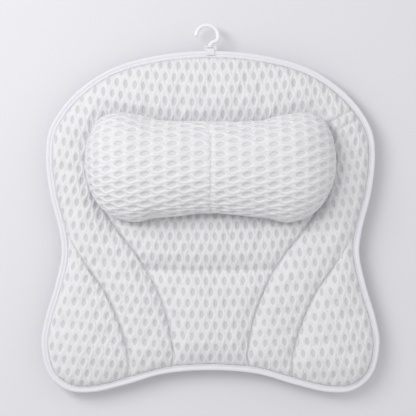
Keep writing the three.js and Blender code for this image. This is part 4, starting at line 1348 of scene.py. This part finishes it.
@dataclass
class Wadding:
    """The fleece batts between the covers, one for each puff of the face."""

    plan: PadPlan
    cell: float = 5 * MM
    edge_gap: float = 10 * MM
    cover_gap: float = 2.6 * MM
    seam_gap: float = 3 * MM
    floor_gap: float = 0.4 * MM
    thinnest: float = 0.5 * MM

    def batt(self, name: str, node: str, keep: Callable[[Array], Array]) -> None:
        """Makes one batt.

        Args:
            name: The piece's name.
            node: The CAD node that it stands for.
            keep: Says of plan points whether they are on the batt, the gaps apart.
        """
        plan = self.plan
        grid = Lattice(across=self.cell, along=self.cell, cuts_across=1, cuts_along=1)

        def inside(at: Array) -> Array:
            """Which plan points are on the batt."""
            right = to_right(at)
            clear = np.minimum(plan.inner.nearest(right)[0], plan.outer.nearest(right)[0])
            return keep(at) & (plan.inset(at) > self.edge_gap) & (clear > self.seam_gap)

        bm, at = cut_cloth(grid, plan.box(), inside)
        floor = plan.back_top + self.floor_gap
        top = np.maximum(plan.face(at) - self.cover_gap, floor + self.thinnest)
        place_vertices(bm, np.column_stack([at, top]))
        grown = bmesh.ops.extrude_face_region(bm, geom=bm.faces[:])
        for vertex in (g for g in grown["geom"] if isinstance(g, bmesh.types.BMVert)):
            vertex.co.z = floor
        bmesh.ops.recalc_face_normals(bm, faces=bm.faces)
        batt = new_piece(name, bm, FLEECE, "wadding", node)

    def build(self) -> None:
        """Makes the five batts."""
        plan, gap = self.plan, self.seam_gap
        self.batt("upper_batt", "upper_wadding", lambda at: plan.beyond_upper(at) < 0)
        self.batt("centre_upper_batt", "centre_upper_wadding",
                  lambda at: (plan.beyond_centre(at) < 0) & (at[:, 1] > plan.tuck_y + gap))
        self.batt("centre_lower_batt", "centre_lower_wadding",
                  lambda at: (plan.beyond_centre(at) < 0) & (at[:, 1] < plan.tuck_y - gap))
        self.batt("left_lobe_batt", "left_lobe_wadding",
                  lambda at: (plan.beyond_lobes(at) < 0) & (at[:, 0] < 0))
        self.batt("right_lobe_batt", "right_lobe_wadding",
                  lambda at: (plan.beyond_lobes(at) < 0) & (at[:, 0] > 0))


def headrest_mesh(along: float, opening: Pair) -> Lattice:
    """The mesh of the headrest, stretched wider than the pad's, by its pitch and one opening's place."""
    return Lattice(across=12.2 * MM, along=along, half_width=3.1 * MM, half_height=6.6 * MM, depth=0.85 * MM,
                   mouth=1.25, lean=0.32, opening=opening)


@dataclass
class Headrest:
    """The bone-shaped cushion: two covers sewn down the middle over a filling, on a flat base.

    Places on the covers are given by their girth up from the spine and their length to the right of the seam.
    """

    shares: tuple = (
        (0, 0.84), (0.36, 0.87), (0.62, 0.975), (0.78, 1), (0.91, 0.85), (0.985, 0.45), (1, 0.05),
        (0.965, -0.4), (0.83, -0.84), (0.64, -1), (0.38, -0.93), (0, -0.86),
    )
    waist_share: float = 0.13  # of the height, where its widest ring lies
    spine_share: float = 0.58  # of half the width, where its round ends start
    fullness: float = 0.95  # of its section, which is an ellipse at 1 and boxier below
    height_share: float = 0.94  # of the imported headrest, before its filling swells it
    foot_angle: float = math.radians(-28)
    step: float = 1.25 * MM
    thickness: float = 1.8 * MM
    seam_dip: float = 0.4 * MM
    seam_reach: float = 7 * MM
    pucker: Pair = (0.3 * MM, 9 * MM)  # how deep and long the gathers at the seam are
    gather: Pair = (0.6 * MM, 6.3 * MM)  # and those low on the waist
    gather_girth: Pair = (46 * MM, 54 * MM)
    gather_length: Pair = (125 * MM, 70 * MM)
    unevenness: Pair = (0.7 * MM, 55 * MM)
    foot_calm: Pair = (2 * MM, 12 * MM)  # how high above the foot they set in
    allowance: float = 2.2 * MM
    right: Lattice = field(default_factory=lambda: headrest_mesh(15.7 * MM, (2.0 * MM, 11.2 * MM)))
    left: Lattice = field(default_factory=lambda: headrest_mesh(15.8 * MM, (2.6 * MM, -13.6 * MM)))

    def __post_init__(self) -> None:
        """Takes the cushion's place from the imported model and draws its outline."""
        left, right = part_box("headrest_left_cover"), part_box("headrest_right_cover")
        low, high = left[0], right[1]
        self.width, self.length = high.x - low.x, high.y - low.y
        self.centre_y = (low.y + high.y) / 2
        self.foot, self.height = low.z, (high.z - low.z) * self.height_share
        half = [(x * self.width / 2, y * self.length / 2) for x, y in self.shares]
        whole = half + [(-x, y) for x, y in half[-2:0:-1]]
        line = smooth_line(whole, self.step, closed=True)
        line[:, 0] *= self.width / (line[:, 0].max() - line[:, 0].min())
        ends = (line[:, 1].min(), line[:, 1].max())
        line[:, 1] = np.interp(line[:, 1], ends, (-self.length / 2, self.length / 2))
        self.outline = line
        self.footprint = Line(line + (0, self.centre_y), closed=True)
        self.spine_end = self.spine_share * self.width / 2
        self.draw_profiles()
        corner = np.array([self.longest, self.width / 2 + self.height])
        self.swelling = Stuffing(cap=4 * MM).swell(
            "headrest", -corner, corner, self.surface, lambda at: self.past_foot(at) < 0,
            lambda at: np.abs(at[:, 1]) < 3 * MM)

    def rings(self, outline: Array, angles: Array, offset: float) -> Array:
        """The cushion's surface, or one inside it.

        Args:
            outline: Points of the widest ring, about the cushion's middle.
            angles: Radians above the widest ring, which is at 0.
            offset: How far inside the surface.

        Returns:
            The points, by outline point and angle.
        """
        waist = self.height * self.waist_share
        spine = np.column_stack([np.clip(outline[:, 0], -self.spine_end, self.spine_end), 0 * outline[:, 0]])
        out = outline - spine
        reach = np.linalg.norm(out, axis=1)
        out /= reach[:, None]
        flat = np.cos(angles)[None]
        size = reach[:, None] * flat**self.fullness - offset * flat
        points = np.empty((len(outline), len(angles), 3))
        points[:, :, :2] = spine[:, None] + out[:, None] * np.maximum(size, 0)[:, :, None]
        points[:, :, 1] += self.centre_y
        below = (waist - offset) * np.sin(angles) / math.sin(-self.foot_angle)
        above = (self.height - waist - offset) * np.sin(angles)
        points[:, :, 2] = self.foot + waist + np.where(angles < 0, below, above)
        return points

    def even_angles(self, offset: float, step: float) -> Array:
        """Angles from the foot to the crown whose rings lie about a step apart on the waist's side."""
        dense = np.linspace(self.foot_angle, math.pi / 2, 600)
        side = self.rings(self.outline[:1], dense, offset)[0]
        length = run_lengths(side)
        return np.interp(np.linspace(0, length[-1], int(length[-1] / step) + 1), length, dense)

    def draw_profiles(self) -> None:
        """Tabulates the girth from the crown down to the foot for cross-sections of every reach."""
        spine = np.clip(self.outline[:, 0], -self.spine_end, self.spine_end)
        away = self.outline - np.column_stack([spine, 0 * spine])
        self.reaches = np.linspace(*(np.linalg.norm(away, axis=1)[[0, 0]] * (0.8, 1.5)), 15)
        self.angles = np.linspace(math.pi / 2, self.foot_angle - math.radians(6), 500)
        self.girths = []
        for reach in self.reaches:
            out = reach * np.maximum(np.cos(self.angles), 0) ** self.fullness
            self.girths.append(run_lengths(np.column_stack([out, self.levels(self.angles)])))
        self.longest = max(g[-1] for g in self.girths)

    def levels(self, angles: Array) -> Array:
        """Heights of the surface over the widest ring at angles above it."""
        waist = self.height * self.waist_share
        below = waist * np.sin(angles) / math.sin(-self.foot_angle)
        return np.where(angles < 0, below, (self.height - waist) * np.sin(angles))

    def polar(self, at: Array) -> tuple[Array, Array, Array, Array]:
        """Splits places on the covers, given by girth and length, into a spine point and a way from it.

        Args:
            at: Girth up from the spine and length to the right, one place a row.

        Returns:
            The spine's x, the plan direction, how far the cloth runs, and the outline's distance there.
        """
        spine = np.clip(at[:, 1], -self.spine_end, self.spine_end)
        way = np.column_stack([at[:, 1] - spine, at[:, 0]])
        run = np.linalg.norm(way, axis=1)
        way = np.where(run[:, None] > 1e-9, way / np.maximum(run, 1e-9)[:, None], (0, 1))
        x, y = self.outline.T
        top, low = y > 0, y < 0
        order, back = np.argsort(x[top]), np.argsort(x[low])
        reach = np.where(way[:, 1] >= 0, np.interp(spine, x[top][order], y[top][order]),
                         -np.interp(spine, x[low][back], y[low][back]))
        for side in (-1, 1):
            turn = np.arctan2(y, (x * side - self.spine_end))
            far = np.hypot(y, x * side - self.spine_end)
            end = x * side > self.spine_end - 4 * MM
            sort = np.argsort(turn[end])
            mine = spine * side >= self.spine_end
            asked = np.arctan2(way[:, 1], way[:, 0] * side)
            reach = np.where(mine, np.interp(asked, turn[end][sort], far[end][sort]), reach)
        return spine, way, run, reach

    def past_foot(self, at: Array) -> Array:
        """How far past the covers' foot places are, by girth and length."""
        _, _, run, reach = self.polar(at)
        full = [np.interp(-self.foot_angle, -self.angles, g) for g in self.girths]
        return run - np.interp(reach, self.reaches, full)

    def surface(self, at: Array) -> Array:
        """The points in space of places on the covers, given by girth and length."""
        spine, way, run, reach = self.polar(at)
        count = len(self.reaches)
        share = np.clip(np.interp(reach, self.reaches, np.arange(count)), 0, count - 1.001)
        low = share.astype(int)
        table = np.array([np.interp(run, g, self.angles) for g in self.girths])
        pick = np.arange(len(at))
        angle = table[low, pick] + (table[low + 1, pick] - table[low, pick]) * (share - low)
        out = reach * np.maximum(np.cos(angle), 0) ** self.fullness
        level = self.foot + self.height * self.waist_share + self.levels(angle)
        return np.column_stack([spine + way[:, 0] * out, self.centre_y + way[:, 1] * out, level])

    def cover(self, side: Side, lattice: Lattice) -> None:
        """Makes one cover.

        Args:
            side: Which half it is.
            lattice: The fabric, whose rows run along the girth here.
        """
        far = self.width / 2 + self.height
        corners = np.array([(-self.longest, -self.allowance), (self.longest, far)]) * (1, side.value)
        reach = lattice.to_fabric(corners)

        def keep(fabric: Array) -> Array:
            """Which places on the fabric are on the cover."""
            at = lattice.to_plan(fabric)
            return (self.past_foot(at) < 0.6 * MM) & (at[:, 1] * side.value > -self.allowance)

        bm, fabric = cut_cloth(lattice, (reach.min(0), reach.max(0)), keep)
        at = lattice.to_plan(fabric)
        over = self.past_foot(at)
        at -= np.where(over > 0, over / np.maximum(np.linalg.norm(at, axis=1), 1e-9), 0)[:, None] * at
        beyond = -at[:, 1] * side.value
        points = self.surface(at) + self.swelling.at(at)
        points[:, 2] -= 0.7 * np.maximum(beyond, 0)
        place_vertices(bm, points)
        bmesh.ops.reverse_faces(bm, faces=bm.faces)
        bm.normal_update()
        low = smoothstep(self.foot + self.foot_calm[0], self.foot + self.foot_calm[1], points[:, 2])
        dip = self.seam_dip * np.maximum(1 - np.abs(at[:, 1]) / self.seam_reach, 0) ** 2
        turn = at[:, 0] * 2 * math.pi
        puckers = self.pucker[0] * np.sin(turn / self.pucker[1]) * np.exp(-(at[:, 1] / self.seam_reach) ** 2)
        uneven = self.unevenness[0] * ripple(at, self.unevenness[1], 31 + side.value)
        waist = smoothstep(*self.gather_length, np.abs(at[:, 1]))
        gather = self.gather[0] * np.sin(turn / self.gather[1] + 2 * ripple(at, 70 * MM, 37))
        gather = gather * smoothstep(*self.gather_girth, np.abs(at[:, 0])) * waist
        facing = np.array([v.normal.z for v in bm.verts])
        calm = smoothstep(0.6 * MM, 3 * MM, -beyond) * smoothstep(-0.1, 0.6, facing)
        height = lattice.relief(fabric) * calm + (puckers + uneven + gather) * low - dip
        for vertex, lift in zip(bm.verts, height):
            vertex.co += vertex.normal * lift
        word = side.name.lower()
        finish = AirMeshFinish(f"knitted_air_mesh_headrest_{word}", "F6F5F8", 0.85, lattice=lattice,
                               opening_colour="E0DFE2", rim_shade_colour="D6D5D9", gap_shade_colour="EEEDF0", seam=0.1)
        # on steep flanks the openings keep only half their greyer colour, which paints the flanks lighter
        edge = np.minimum(-beyond + 0.85 * MM, 1.5 * MM + 1.2 * MM * smoothstep(0, 0.5, facing))
        piece = new_piece(f"headrest_{word}_cloth", bm, finish, "air_mesh", f"headrest_{word}_cover",
                          fabric=fabric, edge=edge)
        thicken(piece, self.thickness)

    def build(self) -> None:
        """Makes the covers, the base, the filling and the middle seam's stitches."""
        self.cover(Side.LEFT, self.left)
        self.cover(Side.RIGHT, self.right)
        inside, coarse = 3 * MM, 5 * MM
        rings = self.rings(self.outline[::4], self.even_angles(inside, coarse), inside)
        filling = close_up(loft(rings.transpose(1, 0, 2)))
        batt = new_piece("headrest_batt", filling, FLEECE, "wadding", "headrest_filling")

        foot = self.rings(self.outline, np.array([self.foot_angle]), 2.6 * MM)[:, 0]
        low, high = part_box("headrest_base_panel")
        base = close_up(loft(np.array([foot * (1, 1, 0) + (0, 0, z) for z in (low.z, high.z)])))
        sharp = [e for e in base.edges if len(e.link_faces) == 2 and e.calc_face_angle(0) > 1]
        round_edges(base, sharp, 0.5 * MM, 2)
        new_piece("headrest_base_cloth", base, BACKING, "air_mesh", "headrest_base_panel")

        girth = np.linspace(-self.longest, self.longest, 400)
        seam = np.column_stack([girth, 0 * girth])
        seam = seam[self.past_foot(seam) < -5 * MM]
        path = self.surface(seam) + self.swelling.at(seam)
        path[:, 2] -= self.seam_dip - 0.15 * MM
        stitches = bmesh.new()
        SEAM_STITCH.run(stitches, path, (1, 0, 0))
        new_piece("headrest_seam_stitches", stitches, THREAD, "sewing_thread", "headrest_seam_thread")


@dataclass
class Hanger:
    """The swivelling hook, its slotted base and the tape tab that ties it to the pad."""

    plan: PadPlan
    wire: float = 5 * MM
    wire_step: float = 0.8 * MM
    radius: float = 13.6 * MM  # of the hook's bend, at the wire's middle
    offset: float = 4.4 * MM  # how far left of the shank the bend's middle is
    thinning: Pair = (0.12, 9 * MM)  # the wire's towards its foot, by share and length
    tip_angle: float = math.radians(182)
    turn_in_angle: float = math.radians(-38)
    bar: float = 2 * MM
    frame_width: float = 14.8 * MM
    boss_diameter: float = 6.4 * MM
    boss_height: float = 1.5 * MM
    collar: float = 6.4 * MM
    collar_height: float = 3.4 * MM
    shank: float = 3 * MM
    shank_head: float = 4 * MM
    shank_head_height: float = 0.6 * MM
    tab_width: float = 10.2 * MM
    tab_thickness: float = 0.6 * MM
    tab_leg: float = 5.6 * MM
    binding_half: float = 3.2 * MM  # half the binding's height, which the tab spans
    gap: float = 0.3 * MM

    def __post_init__(self) -> None:
        """Works out the heights above the pad's edge."""
        self.bar_rise = self.bar / 2 + self.gap
        self.head_foot = self.bar_rise + self.bar / 2 + 2 * self.gap + self.tab_thickness
        self.boss_foot = self.head_foot + self.shank_head_height + self.gap
        self.boss_top = self.boss_foot + self.boss_height
        self.collar_foot = self.boss_top + self.gap
        self.ring_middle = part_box("hanging_hook")[1].y - self.plan.top - self.radius - self.wire / 2

    def at(self, x: float, y: float, z: float) -> tuple[float, float, float]:
        """A place given from the middle of the pad's top edge."""
        return (x, self.plan.top + y, self.plan.rim + z)

    def turned(self, profile: Sequence[Sequence[float]]) -> BMesh:
        """Turns a profile of radius and height above the pad's edge about the shank's axis."""
        bm = spun(profile, (0, 0), 32)
        bmesh.ops.rotate(bm, verts=bm.verts, cent=(0, 0, 0), matrix=Matrix.Rotation(-math.pi / 2, 3, "X"))
        bmesh.ops.translate(bm, verts=bm.verts, vec=self.at(0, 0, 0))
        return bm

    def hook(self) -> None:
        """Makes the hook: a bent wire with a round tip, on a collar and a headed shank."""
        turns = np.linspace(self.tip_angle, self.turn_in_angle, 60)
        arc = np.column_stack([-self.offset + self.radius * np.cos(turns),
                               self.ring_middle + self.radius * np.sin(turns)])
        foot = np.array([[-self.offset * 0.05 + 1.6 * MM, self.collar_foot + self.collar_height * 1.15],
                         [0, self.collar_foot + self.collar_height * 0.5]])
        line = smooth_line(np.vstack([arc[::6], foot]), self.wire_step, closed=False)
        path = np.column_stack([line[:, 0], line[:, 1] + self.plan.top, np.full(len(line), self.plan.rim)])
        length = np.arange(len(path)) * self.wire_step
        tip = rise(length + 0.35 * MM, self.wire / 2)
        thin = 1 - self.thinning[0] * smoothstep(length[-1] - self.thinning[1], length[-1], length)
        bm = wire(path, self.wire / 2 * tip * thin, 20, (0, 0, 1))
        head, shank, collar = self.shank_head / 2, self.shank / 2, self.collar / 2
        top = self.collar_foot + self.collar_height
        head_top = self.head_foot + self.shank_head_height
        profile = [(0, self.head_foot), (head, self.head_foot), (head, head_top), (shank, head_top),
                   (shank, self.collar_foot),
                   (collar - 0.3 * MM, self.collar_foot), (collar, self.collar_foot + 0.3 * MM),
                   (collar, top - 1.4 * MM), (collar * 0.85, top - 0.6 * MM), (collar * 0.55, top), (0, top)]
        add_mesh(bm, self.turned(profile))
        new_piece("hook", bm, HOOK_PLASTIC, "hook_plastic", "hanging_hook", body="hook")

    def base(self) -> None:
        """Makes the base: a rounded frame round the tab's slot, with a boss that the shank turns in."""
        half = self.frame_width / 2
        bar = [self.at(x, self.bar_rise, 0) for x in np.linspace(-half + 0.6 * MM, half - 0.6 * MM, 9)]
        bm = wire(np.array(bar), [self.bar / 2] * len(bar), 16, (0, 0, 1))
        beam_middle = self.boss_top - self.boss_height / 2
        arm = 1.5 * MM
        blocks = [((0, beam_middle, 0), (self.frame_width, self.boss_height, self.bar))]
        blocks += [((side * (half - arm / 2), (self.bar_rise + self.boss_top) / 2, 0),
                    (arm, self.boss_top - self.bar_rise + self.bar * 0.6, self.bar)) for side in (-1, 1)]
        for middle, size in blocks:
            made = bmesh.ops.create_cube(bm, size=1, matrix=Matrix.Translation(self.at(*middle))
                                         @ Matrix.Diagonal((*size, 1)))
            round_edges(bm, list({e for v in made["verts"] for e in v.link_edges}), 0.45 * MM, 3)
        outer, bore = self.boss_diameter / 2, self.shank / 2 + self.gap
        low, high = self.boss_foot, self.boss_top
        ease = 0.25 * MM
        profile = [(bore, low), (outer - ease, low), (outer, low + ease), (outer, high - ease),
                   (outer - ease, high), (bore, high), (bore, low)]
        add_mesh(bm, self.turned(profile))
        new_piece("hook_frame", bm, HOOK_PLASTIC, "hook_plastic", "hook_base", body="base")

    def tab(self) -> None:
        """Makes the tape that runs round the bar and down both faces of the binding, and its tack."""
        inner = self.bar / 2 + self.gap
        legs = self.binding_half + self.gap
        turns = np.linspace(-math.pi / 2, math.pi / 2, 13)
        bend = [(self.bar_rise + inner * math.cos(t), inner * math.sin(t)) for t in turns]
        upper = [(0, inner * 1.15), (-1.8 * MM, legs), (-self.tab_leg, legs - 0.35 * MM)]
        points = [(y, -z) for y, z in upper[::-1]] + bend + upper
        line = smooth_line(points, 0.5 * MM, closed=False)
        across = np.linspace(-self.tab_width / 2, self.tab_width / 2, 15)
        rings = np.array([[self.at(x, y, z) for x in across] for y, z in line])
        bm = loft(rings, closed_ring=False)
        bmesh.ops.recalc_face_normals(bm, faces=bm.faces)
        tab = new_piece("hook_tab_tape", bm, BINDING, "binding_tape", "hook_tab")
        thicken(tab, self.tab_thickness, offset=1)
        tack = bmesh.new()
        small = Stitch(1.6 * MM, 0, 0.28 * MM)
        for k in range(15):
            x = (k / 14 - 0.5) * 8 * MM
            for side in (1, -1):
                spot = self.at(x, -self.tab_leg + 2 * MM, side * (legs + self.tab_thickness))
                small.add(tack, np.array(spot), np.array((0.2, 1, 0)), np.array((0, 0, side)))
        new_piece("hook_tab_tack", tack, THREAD, "sewing_thread", "hook_tab_thread")

    def build(self) -> None:
        """Makes the hook, its base and its tab."""
        self.hook()
        self.base()
        self.tab()


@dataclass
class CupMount:
    """A suction cup and the strap that it buttons into."""

    number: int
    diameter: float = 56 * MM
    wall: float = 1.8 * MM
    lip: float = 1.6 * MM
    hollow: float = 9 * MM
    bell: float = 12 * MM
    neck: float = 7.6 * MM
    head: float = 16 * MM
    head_height: float = 3.2 * MM
    tab: tuple[float, float, float] = (10 * MM, 9 * MM, 1.6 * MM)
    strap_length: float = 60 * MM
    strap_width: float = 22 * MM
    strap_thickness: float = 1.2 * MM
    foot: float = 11 * MM
    bridge: float = 24 * MM
    gap: float = 0.3 * MM

    def __post_init__(self) -> None:
        """Takes the cup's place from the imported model."""
        low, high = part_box(f"cup_strap_{self.number}")
        self.middle = ((low.x + high.x) / 2, (low.y + high.y) / 2)
        self.low, self.high = low.z, high.z - self.strap_thickness
        self.head_foot = self.low + self.strap_thickness + self.gap

    def cup(self) -> None:
        """Turns the cup and adds its pull tab."""
        radius, neck, head = self.diameter / 2, self.neck / 2, self.head / 2
        hollow = radius - self.lip
        inside = smooth_line([(0, self.hollow), (0.4 * hollow, 0.93 * self.hollow),
                              (0.76 * hollow, 0.56 * self.hollow), (hollow, 0)], 2 * MM, closed=False)
        outside = smooth_line([(radius, self.wall / 2), (0.86 * radius, 0.36 * self.bell),
                               (0.55 * radius, 0.79 * self.bell), (neck + 1.2 * MM, self.bell - 0.2 * MM),
                               (neck, self.bell + 1.0 * MM)], 1.6 * MM, closed=False)
        top = self.head_foot + self.head_height
        profile = [*inside, (radius - 0.3 * MM, 0), (radius, 0.3 * MM), *outside, (neck, self.head_foot),
                   (head - 0.4 * MM, self.head_foot), (head, self.head_foot + 0.4 * MM),
                   (head - 0.2 * MM, self.head_foot + self.head_height * 0.4),
                   (head - self.head_height / 2, top - 0.15 * MM), (head - self.head_height, top), (0, top)]
        bm = spun(profile, self.middle, 64)
        width, length, thick = self.tab
        corner = radius + length - width / 2
        turns = np.linspace(0, math.pi, 17)
        plan = [(width / 2 * math.cos(t), corner + width / 2 * math.sin(t)) for t in turns]
        plan = [(width / 2, radius - self.lip), *plan, (-width / 2, radius - self.lip)]
        rows = []
        for inset, z in ((0.35 * MM, 0), (0, 0.3 * MM), (0, thick - 0.3 * MM), (0.35 * MM, thick)):
            shrink = 1 - inset / (width / 2)
            rows.append([(self.middle[0] + x * shrink, self.middle[1] + corner + (y - corner) * shrink,
                          z + self.wall / 6) for x, y in plan])
        add_mesh(bm, close_up(loft(np.array(rows))))
        new_piece(f"cup_{self.number}_vinyl", bm, CLEAR_VINYL, "clear_vinyl", f"suction_cup_{self.number}",
                  body=f"cup_{self.number}")

    def strap(self) -> None:
        """Makes the strap with its buttonhole and its stitches."""
        half, foot, bridge = self.strap_length / 2, self.strap_length / 2 - self.foot, self.bridge / 2
        counts = (60, 22)
        bm = bmesh.new()
        bmesh.ops.create_grid(bm, x_segments=counts[0], y_segments=counts[1], size=1)
        at = coordinates(bm)[:, :2] * (half, self.strap_width / 2)
        hole = self.neck / 2 + self.gap
        place_vertices(bm, np.column_stack([at, 0 * at[:, 0]]))
        inner = [f for f in bm.faces if f.calc_center_median().length < hole + 0.35 * MM]
        bmesh.ops.delete(bm, geom=inner, context="FACES")
        for vertex in bm.verts:
            if vertex.is_boundary and vertex.co.length < 2 * hole:
                vertex.co = vertex.co.normalized() * hole
        at = coordinates(bm)[:, :2]
        lift = smoothstep(bridge - 1 * MM, foot + 1 * MM, np.abs(at[:, 0]))
        level = self.low + (self.high - self.low) * lift
        place_vertices(bm, np.column_stack([at + self.middle, level]))
        bmesh.ops.reverse_faces(bm, faces=bm.faces)
        piece = new_piece(f"strap_{self.number}_webbing", bm, STRAPPING, "webbing",
                          f"cup_strap_{self.number}")
        thicken(piece, self.strap_thickness)

        stitch = Stitch(2.2 * MM, 0.8 * MM, 0.3 * MM)
        inset = 1.6 * MM
        for word, way in (("left", -1), ("right", 1)):
            box = bmesh.new()
            centre = self.middle[0] + way * (half - self.foot / 2)
            x, y = self.foot / 2 - inset, self.strap_width / 2 - inset
            z = self.high - 0.12 * MM
            corners = [(centre + a * x, self.middle[1] + b * y, z)
                       for a, b in ((-1, -1), (1, -1), (1, 1), (-1, 1))]
            pairs = [(0, 1), (1, 2), (2, 3), (3, 0), (0, 2), (1, 3)]
            for a, b in pairs:
                stitch.run(box, np.linspace(corners[a], corners[b], 12), (0, 0, -1))
            new_piece(f"strap_{self.number}_{word}_box_stitch", box, THREAD, "sewing_thread",
                      f"strap_{self.number}_{word}_stitching")
        rim = bmesh.new()
        whip = Stitch(1.9 * MM, 0, 0.3 * MM)
        whips = 26
        for k in range(whips):
            turn = 2 * math.pi * k / whips
            way = np.array([math.cos(turn), math.sin(turn), 0])
            for z, up in ((self.low - 0.05 * MM, -1), (self.low + self.strap_thickness + 0.05 * MM, 1)):
                spot = np.array([*self.middle, z]) + way * (hole + 1.15 * MM)
                whip.add(rim, spot, way, np.array((0, 0, up)))
        new_piece(f"strap_{self.number}_buttonhole", rim, THREAD, "sewing_thread")

    def build(self) -> None:
        """Makes the cup and its strap."""
        self.cup()
        self.strap()


@dataclass
class Studio:
    """The floor, the lamps and the camera over the photograph's frame."""

    frame_px: int = 416
    scale: float = 1.2415 * MM  # of a pixel at the binding's level
    centre_line_px: float = 210.5
    pad_top_px: float = 51
    distance: float = 1.55
    shadow: Pair = (12.7, -8.5)  # how far right and up of the hook its shadow lies, in mm
    shadow_length: float = 15.3
    key_elevation: float = math.radians(54)
    key_size: Pair = (0.4, 0.85)
    key_power: float = 7.0
    fill_direction: tuple[float, float, float] = (0.8, 0.3, 0.5)
    fill_size: Pair = (0.9, 0.9)
    fill_power: float = 0.9
    sky_colour: str = "FAFAFA"
    sky_strength: float = 0.665
    floor_colour: str = "E8E7EC"
    floor_reach: float = 6

    def camera(self, top: float, level: float) -> None:
        """Hangs the camera straight over the middle of the photograph.

        Args:
            top: The y of the pad's top edge.
            level: The height at which the scale holds.
        """
        data = bpy.data.cameras.new("camera")
        camera = add_object("camera", data)
        middle = self.frame_px / 2
        camera.location = ((middle - self.centre_line_px) * self.scale,
                           top - (middle - self.pad_top_px) * self.scale, level + self.distance)
        data.sensor_width = 36
        data.lens = data.sensor_width * self.distance / (self.frame_px * self.scale)
        bpy.context.scene.camera = camera

    def lamp(self, name: str, direction: Sequence[float], size: Pair, power: float,
             far: float = 1.35) -> None:
        """Adds an area lamp, of a width and a height, that looks at the pad from a direction."""
        data = bpy.data.lights.new(name, "AREA")
        data.shape = "RECTANGLE"
        (data.size, data.size_y), data.energy = size, power
        lamp = add_object(name, data)
        lamp.location = Vector(direction).normalized() * far
        lamp.rotation_mode = "QUATERNION"
        lamp.rotation_quaternion = Vector(direction).to_track_quat("Z", "Y")

    def light(self) -> None:
        """Sets a soft key from the upper left, where the shadow points, a weak fill and an even sky."""
        level = math.cos(self.key_elevation)
        x, y = (-way * level / self.shadow_length for way in self.shadow)
        self.lamp("key", (x, y, math.sin(self.key_elevation)), self.key_size, self.key_power)
        self.lamp("fill", self.fill_direction, self.fill_size, self.fill_power)
        world = bpy.data.worlds.new("sky")
        bpy.context.scene.world = world
        world.use_nodes = True
        sky = world.node_tree.nodes["Background"]
        sky.inputs["Color"].default_value = srgb(self.sky_colour)
        sky.inputs["Strength"].default_value = self.sky_strength

    def floor(self) -> None:
        """Lays a wide pale floor under the cups."""
        bm = bmesh.new()
        bmesh.ops.create_grid(bm, x_segments=1, y_segments=1, size=self.floor_reach)
        floor = mesh_object("floor", bm)
        floor.data.materials.append(Finish("painted_board", self.floor_colour, 0.8).material())


def main() -> None:
    """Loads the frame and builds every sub-assembly."""
    logging.basicConfig(level=logging.INFO, format="%(name)s %(message)s")
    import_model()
    scene = bpy.context.scene
    scene.view_settings.view_transform = "Standard"
    headrest = Headrest()
    plan = PadPlan(headrest.footprint)
    studio = Studio()
    studio.camera(plan.top, plan.rim)
    studio.light()
    studio.floor()
    PadFace(plan).build()
    Binding(plan).build()
    SeamThreads(plan).build()
    Backing(plan).build()
    Wadding(plan).build()
    headrest.build()
    Hanger(plan).build()
    for number in range(1, CUPS + 1):
        CupMount(number).build()


if __name__ == "__main__":
    main()
